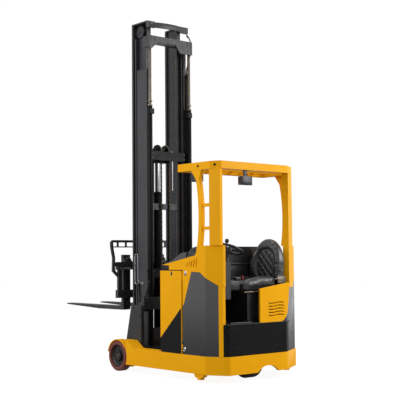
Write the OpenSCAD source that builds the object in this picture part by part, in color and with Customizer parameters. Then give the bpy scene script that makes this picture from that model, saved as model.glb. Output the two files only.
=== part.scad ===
// Sit-on reach truck with a three-stage mast, drawn in millimetres.
// Inside the model x runs forward from the rear face, y to the truck's left, z up from the floor.

/* [Body] */
// Length from the rear face to the fork tips
overall_l = 3235; // [3150:5:3300]
// Width over the skirt
body_w = 1270; // [1250:2:1300]
// Front of the battery compartment
body_front = 930; // [920:1:940]
// Height of the skirt's lower edge
skirt_z = 83; // [75:1:95]
// Height of the skirt
skirt_h = 180; // [170:1:190]
// Thickness of the welded plates
plate_t = 22; // [16:1:26]
// Length of the slanted rear corners
corner_l = 211; // [190:1:230]
// Width that the left rear corner takes away
corner_left = 115; // [90:1:140]
// Width that the right rear corner takes away
corner_right = 345; // [320:1:370]
// Height of the top of the rear step
step_z = 575; // [550:1:600]
// Height of the front wall of the driver's compartment
wall_z = 1345; // [1310:1:1380]

/* [Driver's guard] */
// Height of the guard's roof
guard_z = 2185; // [2140:1:2230]
// Depth of the roof's frame
roof_h = 78; // [65:1:90]
// Front end of the roof
roof_front = 650; // [620:1:680]
// How far the guard stands in from the skirt's side
guard_in = 23; // [10:1:35]
// Width of a curved side post
post_w = 56; // [45:1:65]

/* [Wheels] */
// Diameter of a load wheel
load_d = 330; // [310:2:340]
// Width of a load wheel
load_w = 100; // [90:2:105]
// Distance of the load wheels from the rear face
load_x = 1700; // [1690:1:1710]
// Diameter of the drive wheel
drive_d = 350; // [330:2:360]
// Width of the drive wheel
drive_w = 130; // [110:2:140]
// Distance of the drive wheel from the rear face
drive_x = 290; // [280:1:300]

/* [Mast] */
// Rear face of the outer mast rails
mast_x = 1568; // [1562:1:1574]
// Half width over the mast
mast_half = 305; // [303:1:308]
// Top of the outer rails
outer_top = 3370; // [3250:5:3450]
// Top of the middle rails
middle_top = 3740; // [3650:5:3790]
// Top of the inner rails
inner_top = 3920; // [3850:5:3980]
// Diameter of a side lift cylinder
lift_d = 54; // [50:1:56]
// Diameter of the free lift cylinder
free_d = 96; // [86:1:100]

/* [Forks] */
// Height of the forks' upper face
fork_top = 685; // [670:1:700]
// Thickness of a fork at its heel
fork_t = 45; // [38:1:50]
// Width of a fork
fork_w = 100; // [90:1:110]
// Distance of a fork's middle from the truck's middle
fork_y = 250; // [240:1:260]
// Width of the fork carriage
carriage_w = 826; // [800:2:830]
// Height of the load backrest
backrest_z = 1440; // [1400:1:1500]

/* [Seat] */
// Width of the seat cushion
seat_w = 440; // [400:5:450]
// Height of the seat cushion's top
seat_z = 1000; // [970:1:1030]

/* [Hidden] */
$fn = 72;
e = 1;
gap = 0.3;
half_w = body_w / 2;
deck_z = skirt_z + skirt_h;
guard_half = half_w - guard_in;
YELLOW = "#f2ac14";
BLACK = "#26262a";
MAST = "#47474c";
GREY = "#77777c";
STEEL = "#b4b6ba";
POLY = "#7d2c1c";

// Leg and load wheel
leg_in = half_w - 130;
cheek_in = leg_in - 10;
cheek_out = half_w - load_w - 5;
leg_end = load_x - 160;
leg_rise = 77;
wheel_gap = 12;
load_z = load_d / 2;
groove_z0 = 118;
groove_z1 = 228;
groove_x0 = 590;
groove_x1 = 1640;
groove_y = leg_in + 70;
bay_x = 560;

// Door and panels
door_x0 = 577;
door_x1 = body_front - 8;
door_z0 = deck_z + 5;
door_z1 = 1100;
door_t = 25;
panel_back = 8;
hinge_x = door_x0 - 5;
hinge_y = half_w - 8;
hinge_z = [320, 1040];
knuckle_h = 40;
knuckle_r = 5.5;
edge_x = door_x0 - 11;
panel_z = 1090;
post_z = 948;
band_z = 916;
cover_z1 = 968;
sill_z = 1350;
hood_half = half_w - plate_t - 13;
wall_x = 505;
wall_t = 36;

// Reach carriage
reach_x = 1500;
roller_d = 104;
roller_z = groove_z0 + roller_d / 2 + gap;
roller_x = [1150, 1445];
tower_out = cheek_in - 7;
tower_t = 40;
rod_y = 330;
rod_z = 160;
rod_r = 18;

// Mast rails: rear face, depth, web's inner face, web, rear flange from and to, front flange from and to,
// rear flange's thickness, front flange's thickness, bottom and top
lip = 41;
outer_rail = [mast_x, 184, mast_half - 10, 10, mast_half - lip, mast_half, mast_half - lip, mast_half,
    12, 12, 120, outer_top];
middle_rail = [mast_x + 28, 200, mast_half - 56, 9, mast_half - 83, mast_half - 15,
    mast_half - 83, mast_half - 5, 12, 20, 150, middle_top];
roll_r = 60;
cap_t = 16;
inner_rail = [mast_x + 72, 218, mast_half - 98, 8, mast_half - 115, mast_half - 62,
    mast_half - 120, mast_half - 5, 12, 28, 180, inner_top - cap_t];
inner_x0 = inner_rail[0];
inner_x1 = inner_rail[0] + inner_rail[1];
barrel_x = mast_x - lift_d / 2 - 3;
barrel_y = mast_half - 20;
barrel_z0 = 262;
barrel_top = 2940;
free_x = mast_x + 137;
free_z0 = 252;
free_top = 1950;
free_rod_r = free_d / 2 - 20;
head_z = 2450;
pulley_r = 70;
pulley_y = 58;
free_y = pulley_y;
head_x = 1500;

// Fork carriage
lift_y0 = 150;
lift_y1 = 175;
lift_z0 = 700;
lift_z1 = 1180;
cross_x = inner_x1 + 14;
cross_t = 28;
pivot_x = cross_x + cross_t + 25;
pivot_z = 830;
tilt_rod_z = 1130;
tilt_x = pivot_x + 30;
tilt_t = 23;
frame_x = tilt_x + tilt_t + 6;
frame_t = 54;
bar_z = [[780, 870], [1100, 1190]];
fork_x = frame_x + frame_t + gap;
back_half = 479;
bar_gap = 115;

cushion_z0 = seat_z - 110;

// Steering wheel
wheel_c = [200, half_w - 325, 1315];
wheel_tilt = 22.6;
wheel_r = 132;

// Moves the drawing from the rear face to the middle of the truck's length
module placed() {
    translate([-overall_l / 2, 0, 0]) children();
}

// A box given by its ends along x, y and z
module block(x, y, z) {
    translate([x[0], y[0], z[0]]) cube([x[1] - x[0], y[1] - y[0], z[1] - z[0]]);
}

// Copies what it is given to the truck's right side as well
module both() {
    children();
    mirror([0, 1, 0]) children();
}

// A side view outline in x and z, thickened from y0 to y1
module side_view(y0, y1, points) {
    translate([0, y1, 0]) rotate([90, 0, 0]) linear_extrude(y1 - y0) polygon(points);
}

// A round bar along y
module bar_y(x, z, r, y0, y1) {
    translate([x, y0, z]) rotate([-90, 0, 0]) cylinder(r = r, h = y1 - y0);
}

// Plan of the body behind x, drawn in by an inset
module body_plan(x, inset = 0) {
    left = half_w - corner_left;
    right = -half_w + corner_right;
    polygon([
        [inset, left - inset * 0.4 - 22], [16 + inset * 0.8, left + 10 - inset * 0.8],
        [42 + inset * 0.55, left + 26 - inset * 0.9],
        [corner_l + inset * 0.25, half_w - inset],
        [x, half_w - inset], [x, -half_w + inset],
        [corner_l + inset * 0.6, -half_w + inset], [inset, right + inset * 0.3]
    ]);
}

// The strip just inside the body's plan, from setback inwards by t
module plan_strip(x, setback, t) {
    difference() {
        body_plan(x, setback);
        body_plan(x + e, setback + t);
    }
}

// The body's outer plate, cut to a side view outline
module skin(s, setback, t, points) {
    intersection() {
        translate([0, 0, deck_z - 50]) linear_extrude(1400) plan_strip(body_front, setback, t);
        if (s > 0) side_view(0, half_w + e, points);
        else mirror([0, 1, 0]) side_view(0, half_w + e, points);
    }
}

// Frame

module chassis_base() {
    color(YELLOW) placed() difference() {
        union() {
            translate([0, 0, skirt_z]) linear_extrude(skirt_h) body_plan(body_front);
            translate([drive_x, 0, deck_z]) cylinder(r = drive_d / 2 + 62, h = turret_z + 20 - deck_z);
        }
        translate([0, 0, skirt_z - e]) linear_extrude(skirt_h - 25 + e) body_plan(bay_x, plate_t + 8);
        block([bay_x - e, body_front + e], [-leg_in, leg_in], [skirt_z - e, deck_z - 25]);
        both() block([groove_x0, body_front + e], [leg_in - e, groove_y], [groove_z0, groove_z1]);
        translate([drive_x, 0, 0]) cylinder(r = drive_d / 2 + 40, h = turret_z + gap);
        translate([drive_x, 0, 0]) cylinder(r = motor_r + 10, h = turret_z + 40);
        translate([-e, -20, -52]) rotate([0, 90, 0]) cylinder(r = 198, h = drive_x);
    }
}

module skid_feet() {
    color(YELLOW) placed() both()
        side_view(half_w - 60, half_w - 8, [[250, skirt_z], [400, skirt_z], [385, 50], [350, 42],
            [345, 26], [300, 26], [295, 50], [262, 56]]);
}

module leg() {
    difference() {
        union() {
            side_view(leg_in, half_w, [[body_front, skirt_z], [load_x, skirt_z], [load_x, deck_z + leg_rise],
                [leg_end - 30, deck_z + leg_rise], [leg_end - 140, deck_z], [body_front, deck_z]]);
            intersection() {
                union() {
                    bar_y(load_x, load_z, load_z + 10, cheek_in, cheek_out);
                    side_view(cheek_in, cheek_out, [[load_x - 220, skirt_z], [load_x, skirt_z],
                        [load_x, deck_z + leg_rise], [leg_end - 30, deck_z + leg_rise], [load_x - 300, deck_z]]);
                }
                block([0, load_x + load_d], [0, half_w], [48, 600]);
            }
        }
        block([body_front - e, groove_x1], [0, groove_y], [groove_z0, groove_z1]);
        bar_y(load_x, load_z, load_d / 2 + wheel_gap, cheek_out, half_w + e);
        block([leg_end, load_x + load_d], [cheek_out, half_w + e], [0, deck_z + leg_rise + e]);
        bar_y(load_x, load_z, 25.1, 0, half_w + e);
    }
}

module leg_left() { color(YELLOW) placed() leg(); }
module leg_right() { color(YELLOW) placed() mirror([0, 1, 0]) leg(); }

module load_axles() {
    color(STEEL) placed() both() {
        bar_y(load_x, load_z, 25, cheek_in, half_w - 14);
        bar_y(load_x, load_z, 42, cheek_in - 6, cheek_in);
    }
}

module battery() {
    color(GREY) placed() block([door_x0 + 8, body_front - 25], [-hood_half + 5, hood_half - 5], [deck_z, 1040]);
}

module battery_hood() {
    color(GREY) placed() side_view(-hood_half, hood_half, [[body_front - 15, door_z1 + 8],
        [body_front - 15, 1160], [765, 1206], [630, 1275], [590, 1287],
        [wall_x + wall_t, 1287], [wall_x + wall_t, door_z1 + 8]]);
}

// Wheels

turret_z = drive_d + 65;
motor_r = 110;

module wheel_ring(d, bore, w, crown) {
    rotate([-90, 0, 0]) rotate_extrude() polygon([[bore, -w / 2], [d / 2 - crown, -w / 2],
        [d / 2, -w / 2 + crown], [d / 2, w / 2 - crown], [d / 2 - crown, w / 2], [bore, w / 2]]);
}

load_y = half_w - load_w / 2;
module load_tyre() {
    color(POLY) placed() translate([load_x, load_y, load_z]) wheel_ring(load_d, load_d / 2 - 42, load_w, 12);
}
module load_hub() {
    w = load_w / 2 - 6;
    color(BLACK) placed() translate([load_x, load_y, load_z]) rotate([-90, 0, 0]) rotate_extrude()
        polygon([[25.6, -w], [70, -w], [78, -w + 14], [load_d / 2 - 42, -w + 14], [load_d / 2 - 42, w - 14],
            [load_d / 2 - 52, w - 14], [load_d / 2 - 64, w - 26], [62, w - 26], [54, w], [25.6, w]]);
}
module load_tyre_left() { load_tyre(); }
module load_tyre_right() { mirror([0, 1, 0]) load_tyre(); }
module load_hub_left() { load_hub(); }
module load_hub_right() { mirror([0, 1, 0]) load_hub(); }

drive_z = drive_d / 2;
module drive_tyre() {
    color(POLY) placed() translate([drive_x, 0, drive_z]) wheel_ring(drive_d, drive_d / 2 - 45, drive_w, 12);
}
module drive_hub() {
    color(GREY) placed() translate([drive_x, 0, drive_z]) rotate([-90, 0, 0]) difference() {
        cylinder(r = drive_d / 2 - 45, h = drive_w - 20, center = true);
        cylinder(r = 30.5, h = drive_w, center = true);
    }
}
module drive_gear() {
    color(BLACK) placed() {
        block([drive_x - 75, drive_x + 75], [drive_w / 2 + 8, drive_w / 2 + 70], [drive_z - 60, drive_d + 20]);
        bar_y(drive_x, drive_z, 75, drive_w / 2 + 8, drive_w / 2 + 70);
        bar_y(drive_x, drive_z, 30, -drive_w / 2 + 15, drive_w / 2 + 10);
        translate([drive_x, 0, turret_z - 50]) cylinder(r = 150, h = 50);
    }
}
module drive_motor() {
    color(GREY) placed() translate([drive_x, 0, turret_z]) cylinder(r = motor_r, h = 115);
}

// Panels

black_side = [[88, deck_z], [edge_x, deck_z], [edge_x, 745], [548, 765], [428, panel_z],
    [297, panel_z - 6], [88, 946]];
black_side_right = [[48, deck_z], [edge_x, deck_z], [edge_x, 745], [548, 765], [428, panel_z],
    [297, panel_z - 6], [165, band_z], [30, band_z], [30, step_z + 1], [48, step_z + 1]];
yellow_front = [[298, panel_z - 4], [429, panel_z + 1], [549, 766],
    [edge_x, 746], [edge_x, door_z1 + 10], [785, door_z1 + 10], [785, 1153], [body_front - 25, 1161],
    [785, 1178], [372, 1254], [352, 1280], [338, sill_z]];
yellow_side = concat([[45, post_z + gap], [86, post_z + gap]], yellow_front, [[45, sill_z]]);
yellow_side_right = concat([[164, band_z + 2]], yellow_front, [[166, sill_z]]);

// A hinge knuckle on the body with the pin that stands down into the door's own
module hinge_half(z) {
    translate([hinge_x, hinge_y, z + knuckle_h + gap]) cylinder(r = knuckle_r + 1, h = knuckle_h);
    translate([hinge_x, hinge_y, z + 5]) cylinder(r = 3.2, h = knuckle_h);
}

module side_panel_left() {
    color(BLACK) placed() {
        skin(1, panel_back, plate_t, black_side);
        hinge_half(hinge_z[0]);
    }
}
module side_panel_right() {
    color(BLACK) placed() difference() {
        skin(-1, panel_back, plate_t, black_side_right);
        translate([0, 0, band_z]) linear_extrude(sill_z) offset(e) polygon(right_post);
    }
}

// Slanted vents in a side plate, longer towards the guard's post
vent_n = 5;
vent_x = 352;
vent_step = 37;
vent_w = 12;
module vents() {
    for (i = [0 : vent_n - 1]) {
        x = vent_x + i * vent_step;
        low = 1136 + i * 2;
        high = 1226 - i * 11;
        side_view(half_w - 60, half_w + e, [[x, low], [x + vent_w, low], [x + vent_w - 18, high], [x - 18, high]]);
    }
}

module side_plate_left() {
    color(YELLOW) placed() {
        difference() {
            skin(1, panel_back, plate_t, yellow_side);
            vents();
        }
        hinge_half(hinge_z[1] - 40);
    }
}
module side_plate_right() {
    color(YELLOW) placed() difference() {
        skin(-1, panel_back, plate_t, yellow_side_right);
        mirror([0, 1, 0]) vents();
        translate([0, 0, band_z]) linear_extrude(sill_z) offset(e) polygon(right_post);
    }
}

module corner_posts() {
    color(YELLOW) placed() {
        skin(1, 0, plate_t + 8, [[48, deck_z], [87, deck_z], [87, post_z], [48, post_z]]);
    }
}

module service_door() {
    color(YELLOW) placed() difference() {
        union() {
            block([door_x0, door_x1], [half_w - door_t, half_w], [door_z0, door_z1]);
            for (z = [hinge_z[0], hinge_z[1] - 40])
                translate([hinge_x, hinge_y, z]) cylinder(r = knuckle_r, h = knuckle_h);
        }
        for (z = [hinge_z[0], hinge_z[1] - 40]) {
            translate([hinge_x, hinge_y, z - e]) cylinder(r = 3.5, h = knuckle_h + 2 * e);
            translate([hinge_x, hinge_y, z + knuckle_h]) cylinder(r = knuckle_r + 3, h = knuckle_h + 5);
        }
    }
}

module rear_panel() {
    color(BLACK) placed() intersection() {
        translate([0, 0, deck_z]) linear_extrude(step_z - deck_z) plan_strip(body_front, 5, plate_t);
        block([-e, 47], [-half_w, half_w], [0, 2000]);
    }
}

// One wavy louvre at a height, as its lower edge and then its upper edge
louvre_n = 5;
louvre_step = 31;
louvre_h = 9;
function wave(y, z) = [z + 5 * sin((y + 30) * 1.7), y];
function louvre(z) = concat([for (y = [-30 : -14 : -254]) wave(y, z)], [for (y = [-254 : 14 : -30]) wave(y, z + louvre_h)]);

module rear_cover() {
    color(YELLOW) placed() translate([plate_t, 0, 0]) rotate([0, -90, 0]) linear_extrude(plate_t) difference() {
        polygon([[step_z + gap, 90], [905, 87], [916, 76], [cover_z1, -322], [cover_z1 - 12, -333], [790, -319],
            [743, -314], [660, -300], [614, -277], [585, -244], [step_z + gap, -222]]);
        for (i = [0 : louvre_n - 1]) polygon(louvre(640 + i * louvre_step));
    }
}

module floor_step() {
    color(BLACK) placed() {
        translate([0, 0, step_z - 20]) linear_extrude(20) body_plan(wall_x + wall_t, panel_back + plate_t + 10);
    }
}

module front_wall() {
    color(BLACK) placed() block([wall_x, wall_x + wall_t], [-hood_half, hood_half], [step_z, wall_z]);
}

module console() {
    color(BLACK) placed() {
        intersection() {
            side_view(half_w - 205, half_w, [[60, 820], [wall_x - gap, 820], [wall_x - gap, 1290], [300, 1240], [60, 1190]]);
            translate([0, 0, deck_z]) linear_extrude(1200) body_plan(body_front, panel_back + plate_t + 2);
        }
        translate(wheel_c) rotate([wheel_tilt, 0, 0]) translate([0, 0, -350]) cylinder(r = 24, h = 350 - 45 - gap);
    }
}

module pedals() {
    color(GREY) placed() for (x = [180, 330])
        translate([x, 380, step_z + gap]) rotate([35, 0, 0]) cube([90, 120, 8]);
}

module steering_wheel() {
    color(BLACK) placed() translate(wheel_c) rotate([wheel_tilt, 0, 0]) {
        rotate_extrude() translate([wheel_r, 0]) circle(r = 13, $fn = 32);
        translate([0, 0, -45]) cylinder(r = 32, h = 50);
        for (a = [0, 120, 240]) rotate([0, 0, a + 90]) block([20, wheel_r - 4], [-14, 14], [-9, 3]);
    }
}

// Seat, which faces the truck's left

module seat_base() {
    color(BLACK) placed() {
        block([90, 470], [-230, 180], [step_z, cushion_z0 - gap]);
        block([110, 450], [-360, -245 - gap], [step_z, 922]);
    }
}
module seat_cushion() {
    color(BLACK) placed() block([62, 62 + seat_w], [-245, 250], [cushion_z0, seat_z]);
}
module seat_back() {
    r = seat_w / 2;
    color(BLACK) placed() translate([62, -247, seat_z - 60]) rotate([4, 0, 0]) rotate([90, 0, 0])
        translate([0, 0, 2]) linear_extrude(90) polygon(concat([[12, 0], [0, 60]],
            [for (a = [180 : -10 : 0]) [r + r * cos(a) * (1 - 0.12 * sin(a)), 250 + 230 * sin(a)]],
            [[seat_w, 60], [seat_w - 12, 0]]));
}

// Driver's guard

roof_x = 45;
bar_n = 6;
// Plan of the right rear post, along the body's slanted corner
right_post = [[70, -half_w + 231], [159, -half_w + 85], [213, -half_w + 118], [124, -half_w + 264]];

module guard_roof() {
    in = guard_half - 67;
    color(YELLOW) placed() translate([0, 0, guard_z - roof_h]) {
        linear_extrude(roof_h) difference() {
            polygon([[roof_x, half_w - 80], [150, guard_half], [roof_front, guard_half], [roof_front, -guard_half],
                [245, -guard_half], [142, -guard_half + 82], [roof_x, -half_w + 263]]);
            polygon([[115, half_w - 135], [190, in], [roof_front - 60, in], [roof_front - 60, -in],
                [275, -in], [215, -in + 47], [132, -half_w + 263]]);
        }
        for (i = [1 : bar_n]) {
            y = -in + i * 2 * in / (bar_n + 1);
            block([100, roof_front - 40], [y - 8, y + 8], [20, 65]);
        }
    }
}

// Front post, bowed towards the rear, with a gusset under the roof
roof_z = guard_z - roof_h;
bow_r = 1786;
step_bars = [1505, 1735];
module bowed_post() {
    y = guard_half - 38;
    intersection() {
        block([200, 420], [y, guard_half], [sill_z, roof_z]);
        translate([300 + bow_r, guard_half, 1650]) rotate([90, 0, 0]) linear_extrude(guard_half - y) difference() {
            circle(r = bow_r + post_w / 2, $fn = 360);
            circle(r = bow_r - post_w / 2, $fn = 360);
        }
    }
    side_view(y, guard_half, [[285, roof_z], [438, roof_z], [368, roof_z - 90], [314, roof_z - 90]]);
}

module guard_posts_left() {
    color(YELLOW) placed() {
        bowed_post();
        translate([0, 0, sill_z]) linear_extrude(roof_z - sill_z)
            polygon([[165, guard_half], [50, guard_half - 42], [58, guard_half - 82], [165, guard_half - 45]]);
        for (z = step_bars) block([160, 300], [guard_half - 30, guard_half - 8], [z, z + 34]);
    }
}
module guard_posts_right() {
    color(YELLOW) placed() {
        mirror([0, 1, 0]) bowed_post();
        translate([0, 0, band_z + gap]) linear_extrude(roof_z - band_z - gap) polygon(right_post);
        for (z = step_bars) translate([0, 0, z]) linear_extrude(34)
            polygon([[195, -guard_half + 95], [290, -guard_half + 34], [290, -guard_half + 8], [168, -guard_half + 65]]);
    }
}

module work_lamps() {
    color(BLACK) placed() {
        z = roof_z - gap;
        // On the rear of the roof, and on its left side
        block([58, 112], [132, 268], [z - 148, z - 64]);
        block([74, 92], [180, 220], [z - 65, z]);
        block([374, 466], [guard_half - 110, guard_half - 40], [z - 104, z - 22]);
        block([400, 440], [guard_half - 84, guard_half - 66], [z - 23, z]);
    }
}

// Reach movement

module reach_barrels() {
    color(BLACK) placed() both() difference() {
        translate([380, rod_y, rod_z]) rotate([0, 90, 0]) cylinder(r = 35, h = 580);
        translate([400, rod_y, rod_z]) rotate([0, 90, 0]) cylinder(r = rod_r + 6, h = 520);
        translate([400, rod_y, rod_z]) rotate([0, 90, 0]) cylinder(r = rod_r + gap, h = 600);
    }
}
module reach_rods() {
    color(STEEL) placed() both() translate([900, rod_y, rod_z]) rotate([0, 90, 0]) cylinder(r = rod_r, h = reach_x - 900);
}

module reach_frame() {
    color(MAST) placed() {
        both() {
            side_view(tower_out - tower_t, tower_out, [[1450, 220], [1730, 220], [1730, 310], [1632, 715],
                [1450, 715]]);
            block([1080, 1600], [tower_out - tower_t, tower_out], [122, 232]);
            block([reach_x, 1720], [mast_half, tower_out - tower_t], [200, barrel_z0 - gap]);
            block([mast_x, 1632], [mast_half, tower_out - tower_t], [640, 700]);
            for (x = roller_x) bar_y(x, roller_z, 18, tower_out - 2, leg_in + 4);
        }
        block([reach_x, 1566], [-tower_out + tower_t, tower_out - tower_t], [130, barrel_z0 - gap]);
        block([1450, 1500], [-tower_out + tower_t, tower_out - tower_t], [670, 800]);
    }
}
module reach_rollers() {
    color(BLACK) placed() both() for (x = roller_x) bar_y(x, roller_z, roller_d / 2, leg_in + 4, leg_in + 44);
}

// Mast

module rail(r) {
    x1 = r[0] + r[1];
    translate([0, 0, r[10]]) linear_extrude(r[11] - r[10]) union() {
        translate([r[0], r[2]]) square([r[1], r[3]]);
        translate([r[0], r[4]]) square([r[8], r[5] - r[4]]);
        translate([x1 - r[9], r[6]]) square([r[9], r[7] - r[6]]);
    }
}
// A roller inside a rail at its top that bears on the next stage's rear flange
module top_roller(r, next, y0, y1) {
    bar_y(next[0] + next[8] + gap + roll_r, r[11] - 80, roll_r, y0, y1);
}
// A roller outside a rail at its foot that bears on the front flange of the stage around it
module foot_roller(r, around, y0, y1) {
    bar_y(around[0] + around[1] - around[9] - gap - roll_r, r[10] + 70, roll_r, y0, y1);
}
module outer_rail_side() {
    rail(outer_rail);
    top_roller(outer_rail, middle_rail, middle_rail[2] + middle_rail[3] + 5, outer_rail[2]);
}
module middle_rail_side() {
    rail(middle_rail);
    top_roller(middle_rail, inner_rail, inner_rail[2] + inner_rail[3] + 5, middle_rail[2]);
    foot_roller(middle_rail, outer_rail, middle_rail[2] + middle_rail[3], outer_rail[2] - 3);
}
module inner_rail_side() {
    rail(inner_rail);
    foot_roller(inner_rail, middle_rail, inner_rail[2] + inner_rail[3], middle_rail[2] - 3);
}
module outer_rail_left() { color(MAST) placed() outer_rail_side(); }
module outer_rail_right() { color(MAST) placed() mirror([0, 1, 0]) outer_rail_side(); }
module middle_rail_left() { color(MAST) placed() middle_rail_side(); }
module middle_rail_right() { color(MAST) placed() mirror([0, 1, 0]) middle_rail_side(); }
module inner_rail_left() { color(MAST) placed() inner_rail_side(); }
module inner_rail_right() { color(MAST) placed() mirror([0, 1, 0]) inner_rail_side(); }

module outer_ties() {
    y = outer_rail[4];
    color(MAST) placed() {
        block([mast_x, mast_x + 20], [-y, y], [2340, 2440]);
        block([mast_x, mast_x + 20], [-y, y], [1010, 1110]);
        both() difference() {
            block([barrel_x - 34, mast_x], [barrel_y - 36, barrel_y + 20], [2850, 2910]);
            translate([barrel_x, barrel_y, 2800]) cylinder(r = lift_d / 2 + gap, h = 200);
        }
    }
}
module lift_barrels() {
    color(BLACK) placed() both() translate([barrel_x, barrel_y, barrel_z0]) difference() {
        cylinder(r = lift_d / 2, h = barrel_top - barrel_z0);
        translate([0, 0, 30]) cylinder(r = 21, h = barrel_top - barrel_z0 - 70);
        translate([0, 0, 30]) cylinder(r = 17.5 + gap, h = barrel_top);
    }
}
module lift_rods() {
    color(STEEL) placed() both() translate([barrel_x, barrel_y, 600]) cylinder(r = 17.5, h = middle_top - 80 - 600);
}
module middle_ties() {
    x = middle_rail[0];
    y = middle_rail[4];
    half = mast_half - 5;
    color(MAST) placed() {
        block([barrel_x - 22, x], [-half - 11, half + 11], [middle_top - 80, middle_top]);
        // Gusset plate behind the tie and the plates that wrap its ends
        translate([barrel_x - 21, 0, middle_top]) rotate([0, -90, 0]) linear_extrude(16)
            polygon([[0, half + 11], [-145, half + 11], [-145, 279], [-78, 200], [-65, -64], [-156, -132],
                [-152, -half - 11], [0, -half - 11]]);
        both() block([barrel_x - 22, x + 44], [half + 3, half + 11], [middle_top - 125, middle_top]);
        block([x, x + 22], [-y, y], [300, 450]);
    }
}
module inner_ties() {
    x = inner_x0;
    y = inner_rail[4];
    web_y = inner_rail[2] + inner_rail[3];
    color(MAST) placed() {
        block([x, x + 16], [-y, y], [200, 330]);
        block([x + 10, free_x + 60], [-110, 110], [free_z0 - 22, free_z0]);
        block([x + 2, x + 16], [-y, y], [1780, 1850]);
        // Head: a beam bowed to the rear, a cap on each rail and the wheels that the hoses run over
        head_r = 640;
        translate([0, 0, inner_top - 75]) linear_extrude(60) intersection() {
            translate([head_x + head_r, 0]) difference() {
                circle(r = head_r, $fn = 240);
                circle(r = head_r - 24, $fn = 240);
            }
            translate([head_x - e, -y - 110]) square([90, 2 * y + 220]);
        }
        both() {
            block([head_x + 62, inner_x1], [y, mast_half - 5], [inner_top - cap_t, inner_top]);
            block([head_x + 62, head_x + 84], [y, mast_half - 5], [inner_top - 75, inner_top - cap_t + e]);
            bar_y(inner_x1 - 103, inner_top - 97, 68, web_y + 4, web_y + 44);
            bar_y(inner_x1 - 103, inner_top - 97, 16, web_y, web_y + 54);
        }
    }
}
module free_lift_barrel() {
    color(BLACK) placed() translate([free_x, free_y, free_z0]) difference() {
        cylinder(r = free_d / 2, h = free_top - free_z0);
        translate([0, 0, 28]) cylinder(r = free_rod_r + 6, h = free_top - free_z0 - 78);
        translate([0, 0, 28]) cylinder(r = free_rod_r + gap, h = free_top);
    }
}
module lift_head() {
    color(BLACK) placed() {
        // The rod stands under the left pulley, and its yoke carries both
        translate([free_x, free_y, 700]) cylinder(r = free_rod_r, h = head_z - 800);
        block([free_x - 32, free_x + 32], [-pulley_y - 14, free_y + 32], [head_z - 130, head_z - pulley_r - 6]);
        block([free_x - 32, free_x + 32], [-pulley_y + 14, pulley_y - 14], [head_z - 80, head_z + 40]);
        bar_y(free_x, head_z, 20, -pulley_y - 12, pulley_y + 12);
        both() {
            bar_y(free_x, head_z, pulley_r, pulley_y - 12, pulley_y + 12);
            block([free_x + pulley_r - 1, free_x + pulley_r + 9], [pulley_y - 9, pulley_y + 9], [1110, head_z]);
            block([free_x - pulley_r - 9, free_x - pulley_r + 1], [pulley_y - 9, pulley_y + 9], [700, head_z]);
        }
    }
}

// Fork carriage

module lift_carriage() {
    roll_x = inner_x1 - inner_rail[9] - gap - 75;
    front = cross_x + cross_t;
    color(MAST) placed() {
        both() {
            block([inner_x0 + 35, cross_x], [lift_y0, lift_y1], [lift_z0, lift_z1]);
            for (z = [lift_z0 + 90, lift_z1 - 90]) bar_y(roll_x, z, 75, lift_y1, lift_y1 + 27);
            side_view(130, 160, [[front, pivot_z - 50], [pivot_x, pivot_z - 20], [pivot_x + 18, pivot_z],
                [pivot_x, pivot_z + 20], [front, pivot_z + 50]]);
            bar_y(pivot_x, pivot_z, 12, 131, 192);
        }
        block([cross_x, front], [-210, 210], [lift_z0, lift_z0 + 100]);
        difference() {
            union() {
                block([cross_x, front], [-210, 210], [lift_z1 - 110, lift_z1]);
                both() translate([front, 90, tilt_rod_z]) rotate([0, 90, 0]) cylinder(r = 32, h = 20);
            }
            both() translate([cross_x - e, 90, tilt_rod_z]) rotate([0, 90, 0]) cylinder(r = 22, h = 90);
        }
    }
}
module tilt_frame() {
    front = cross_x + cross_t;
    color(MAST) placed() {
        both() difference() {
            union() {
                side_view(165, 190, [[pivot_x, pivot_z - 20], [tilt_x + tilt_t, pivot_z - 60],
                    [tilt_x + tilt_t, bar_z[1][1]], [tilt_x, bar_z[1][1]], [tilt_x, pivot_z + 60], [pivot_x, pivot_z + 20]]);
                bar_y(pivot_x, pivot_z, 20, 165, 190);
            }
            bar_y(pivot_x, pivot_z, 12.4, 0, 400);
        }
        for (z = bar_z) block([tilt_x, tilt_x + tilt_t], [-200, 200], z);
        both() {
            translate([front + 14, 90, tilt_rod_z]) rotate([0, 90, 0]) cylinder(r = 12, h = tilt_x - front - 14);
            for (z = bar_z) block([tilt_x + tilt_t, frame_x - gap], [90, 180], [z[0] + 15, z[1] - 15]);
        }
    }
}
module fork_frame() {
    y = carriage_w / 2;
    color(MAST) placed() {
        for (z = bar_z) block([frame_x, frame_x + frame_t], [-y, y], z);
        for (s = [-1, 1], k = [90, y - 30]) block([frame_x, frame_x + 30], [s * k - 25, s * k + 25], [bar_z[0][1], bar_z[1][0]]);
    }
}
// Posts that lean in towards the carriage, two rails and short bars between them
rail_z = [1355, 1412];
module load_backrest() {
    z0 = bar_z[1][1] + gap;
    end = carriage_w / 2;
    color(MAST) placed() {
        both() {
            translate([frame_x + 36, 0, 0]) rotate([0, -90, 0]) linear_extrude(28) polygon([
                [backrest_z, back_half], [backrest_z - 24, back_half + 24], [1361, back_half + 22],
                [1236, back_half - 5], [1085, back_half + 1], [1020, end - 5 + gap], [1050, end - 5 + gap],
                [1100, back_half - 30], [1236, back_half - 34], [1361, back_half - 8], [backrest_z - 32, back_half - 6]]);
            block([frame_x + 8, frame_x + 36], [end + gap, back_half - 25], [z0 - 50, z0 - 10]);
            for (i = [0 : 3]) block([frame_x + 12, frame_x + 32], [bar_gap * (i + 0.5) - 9, bar_gap * (i + 0.5) + 9],
                [rail_z[0] + 10, rail_z[1] + e]);
        }
        block([frame_x + 8, frame_x + 36], [-back_half, back_half], [rail_z[1], backrest_z]);
        block([frame_x + 14, frame_x + 28], [-back_half - 10, back_half + 10], [rail_z[0], rail_z[0] + 13]);
    }
}
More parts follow.
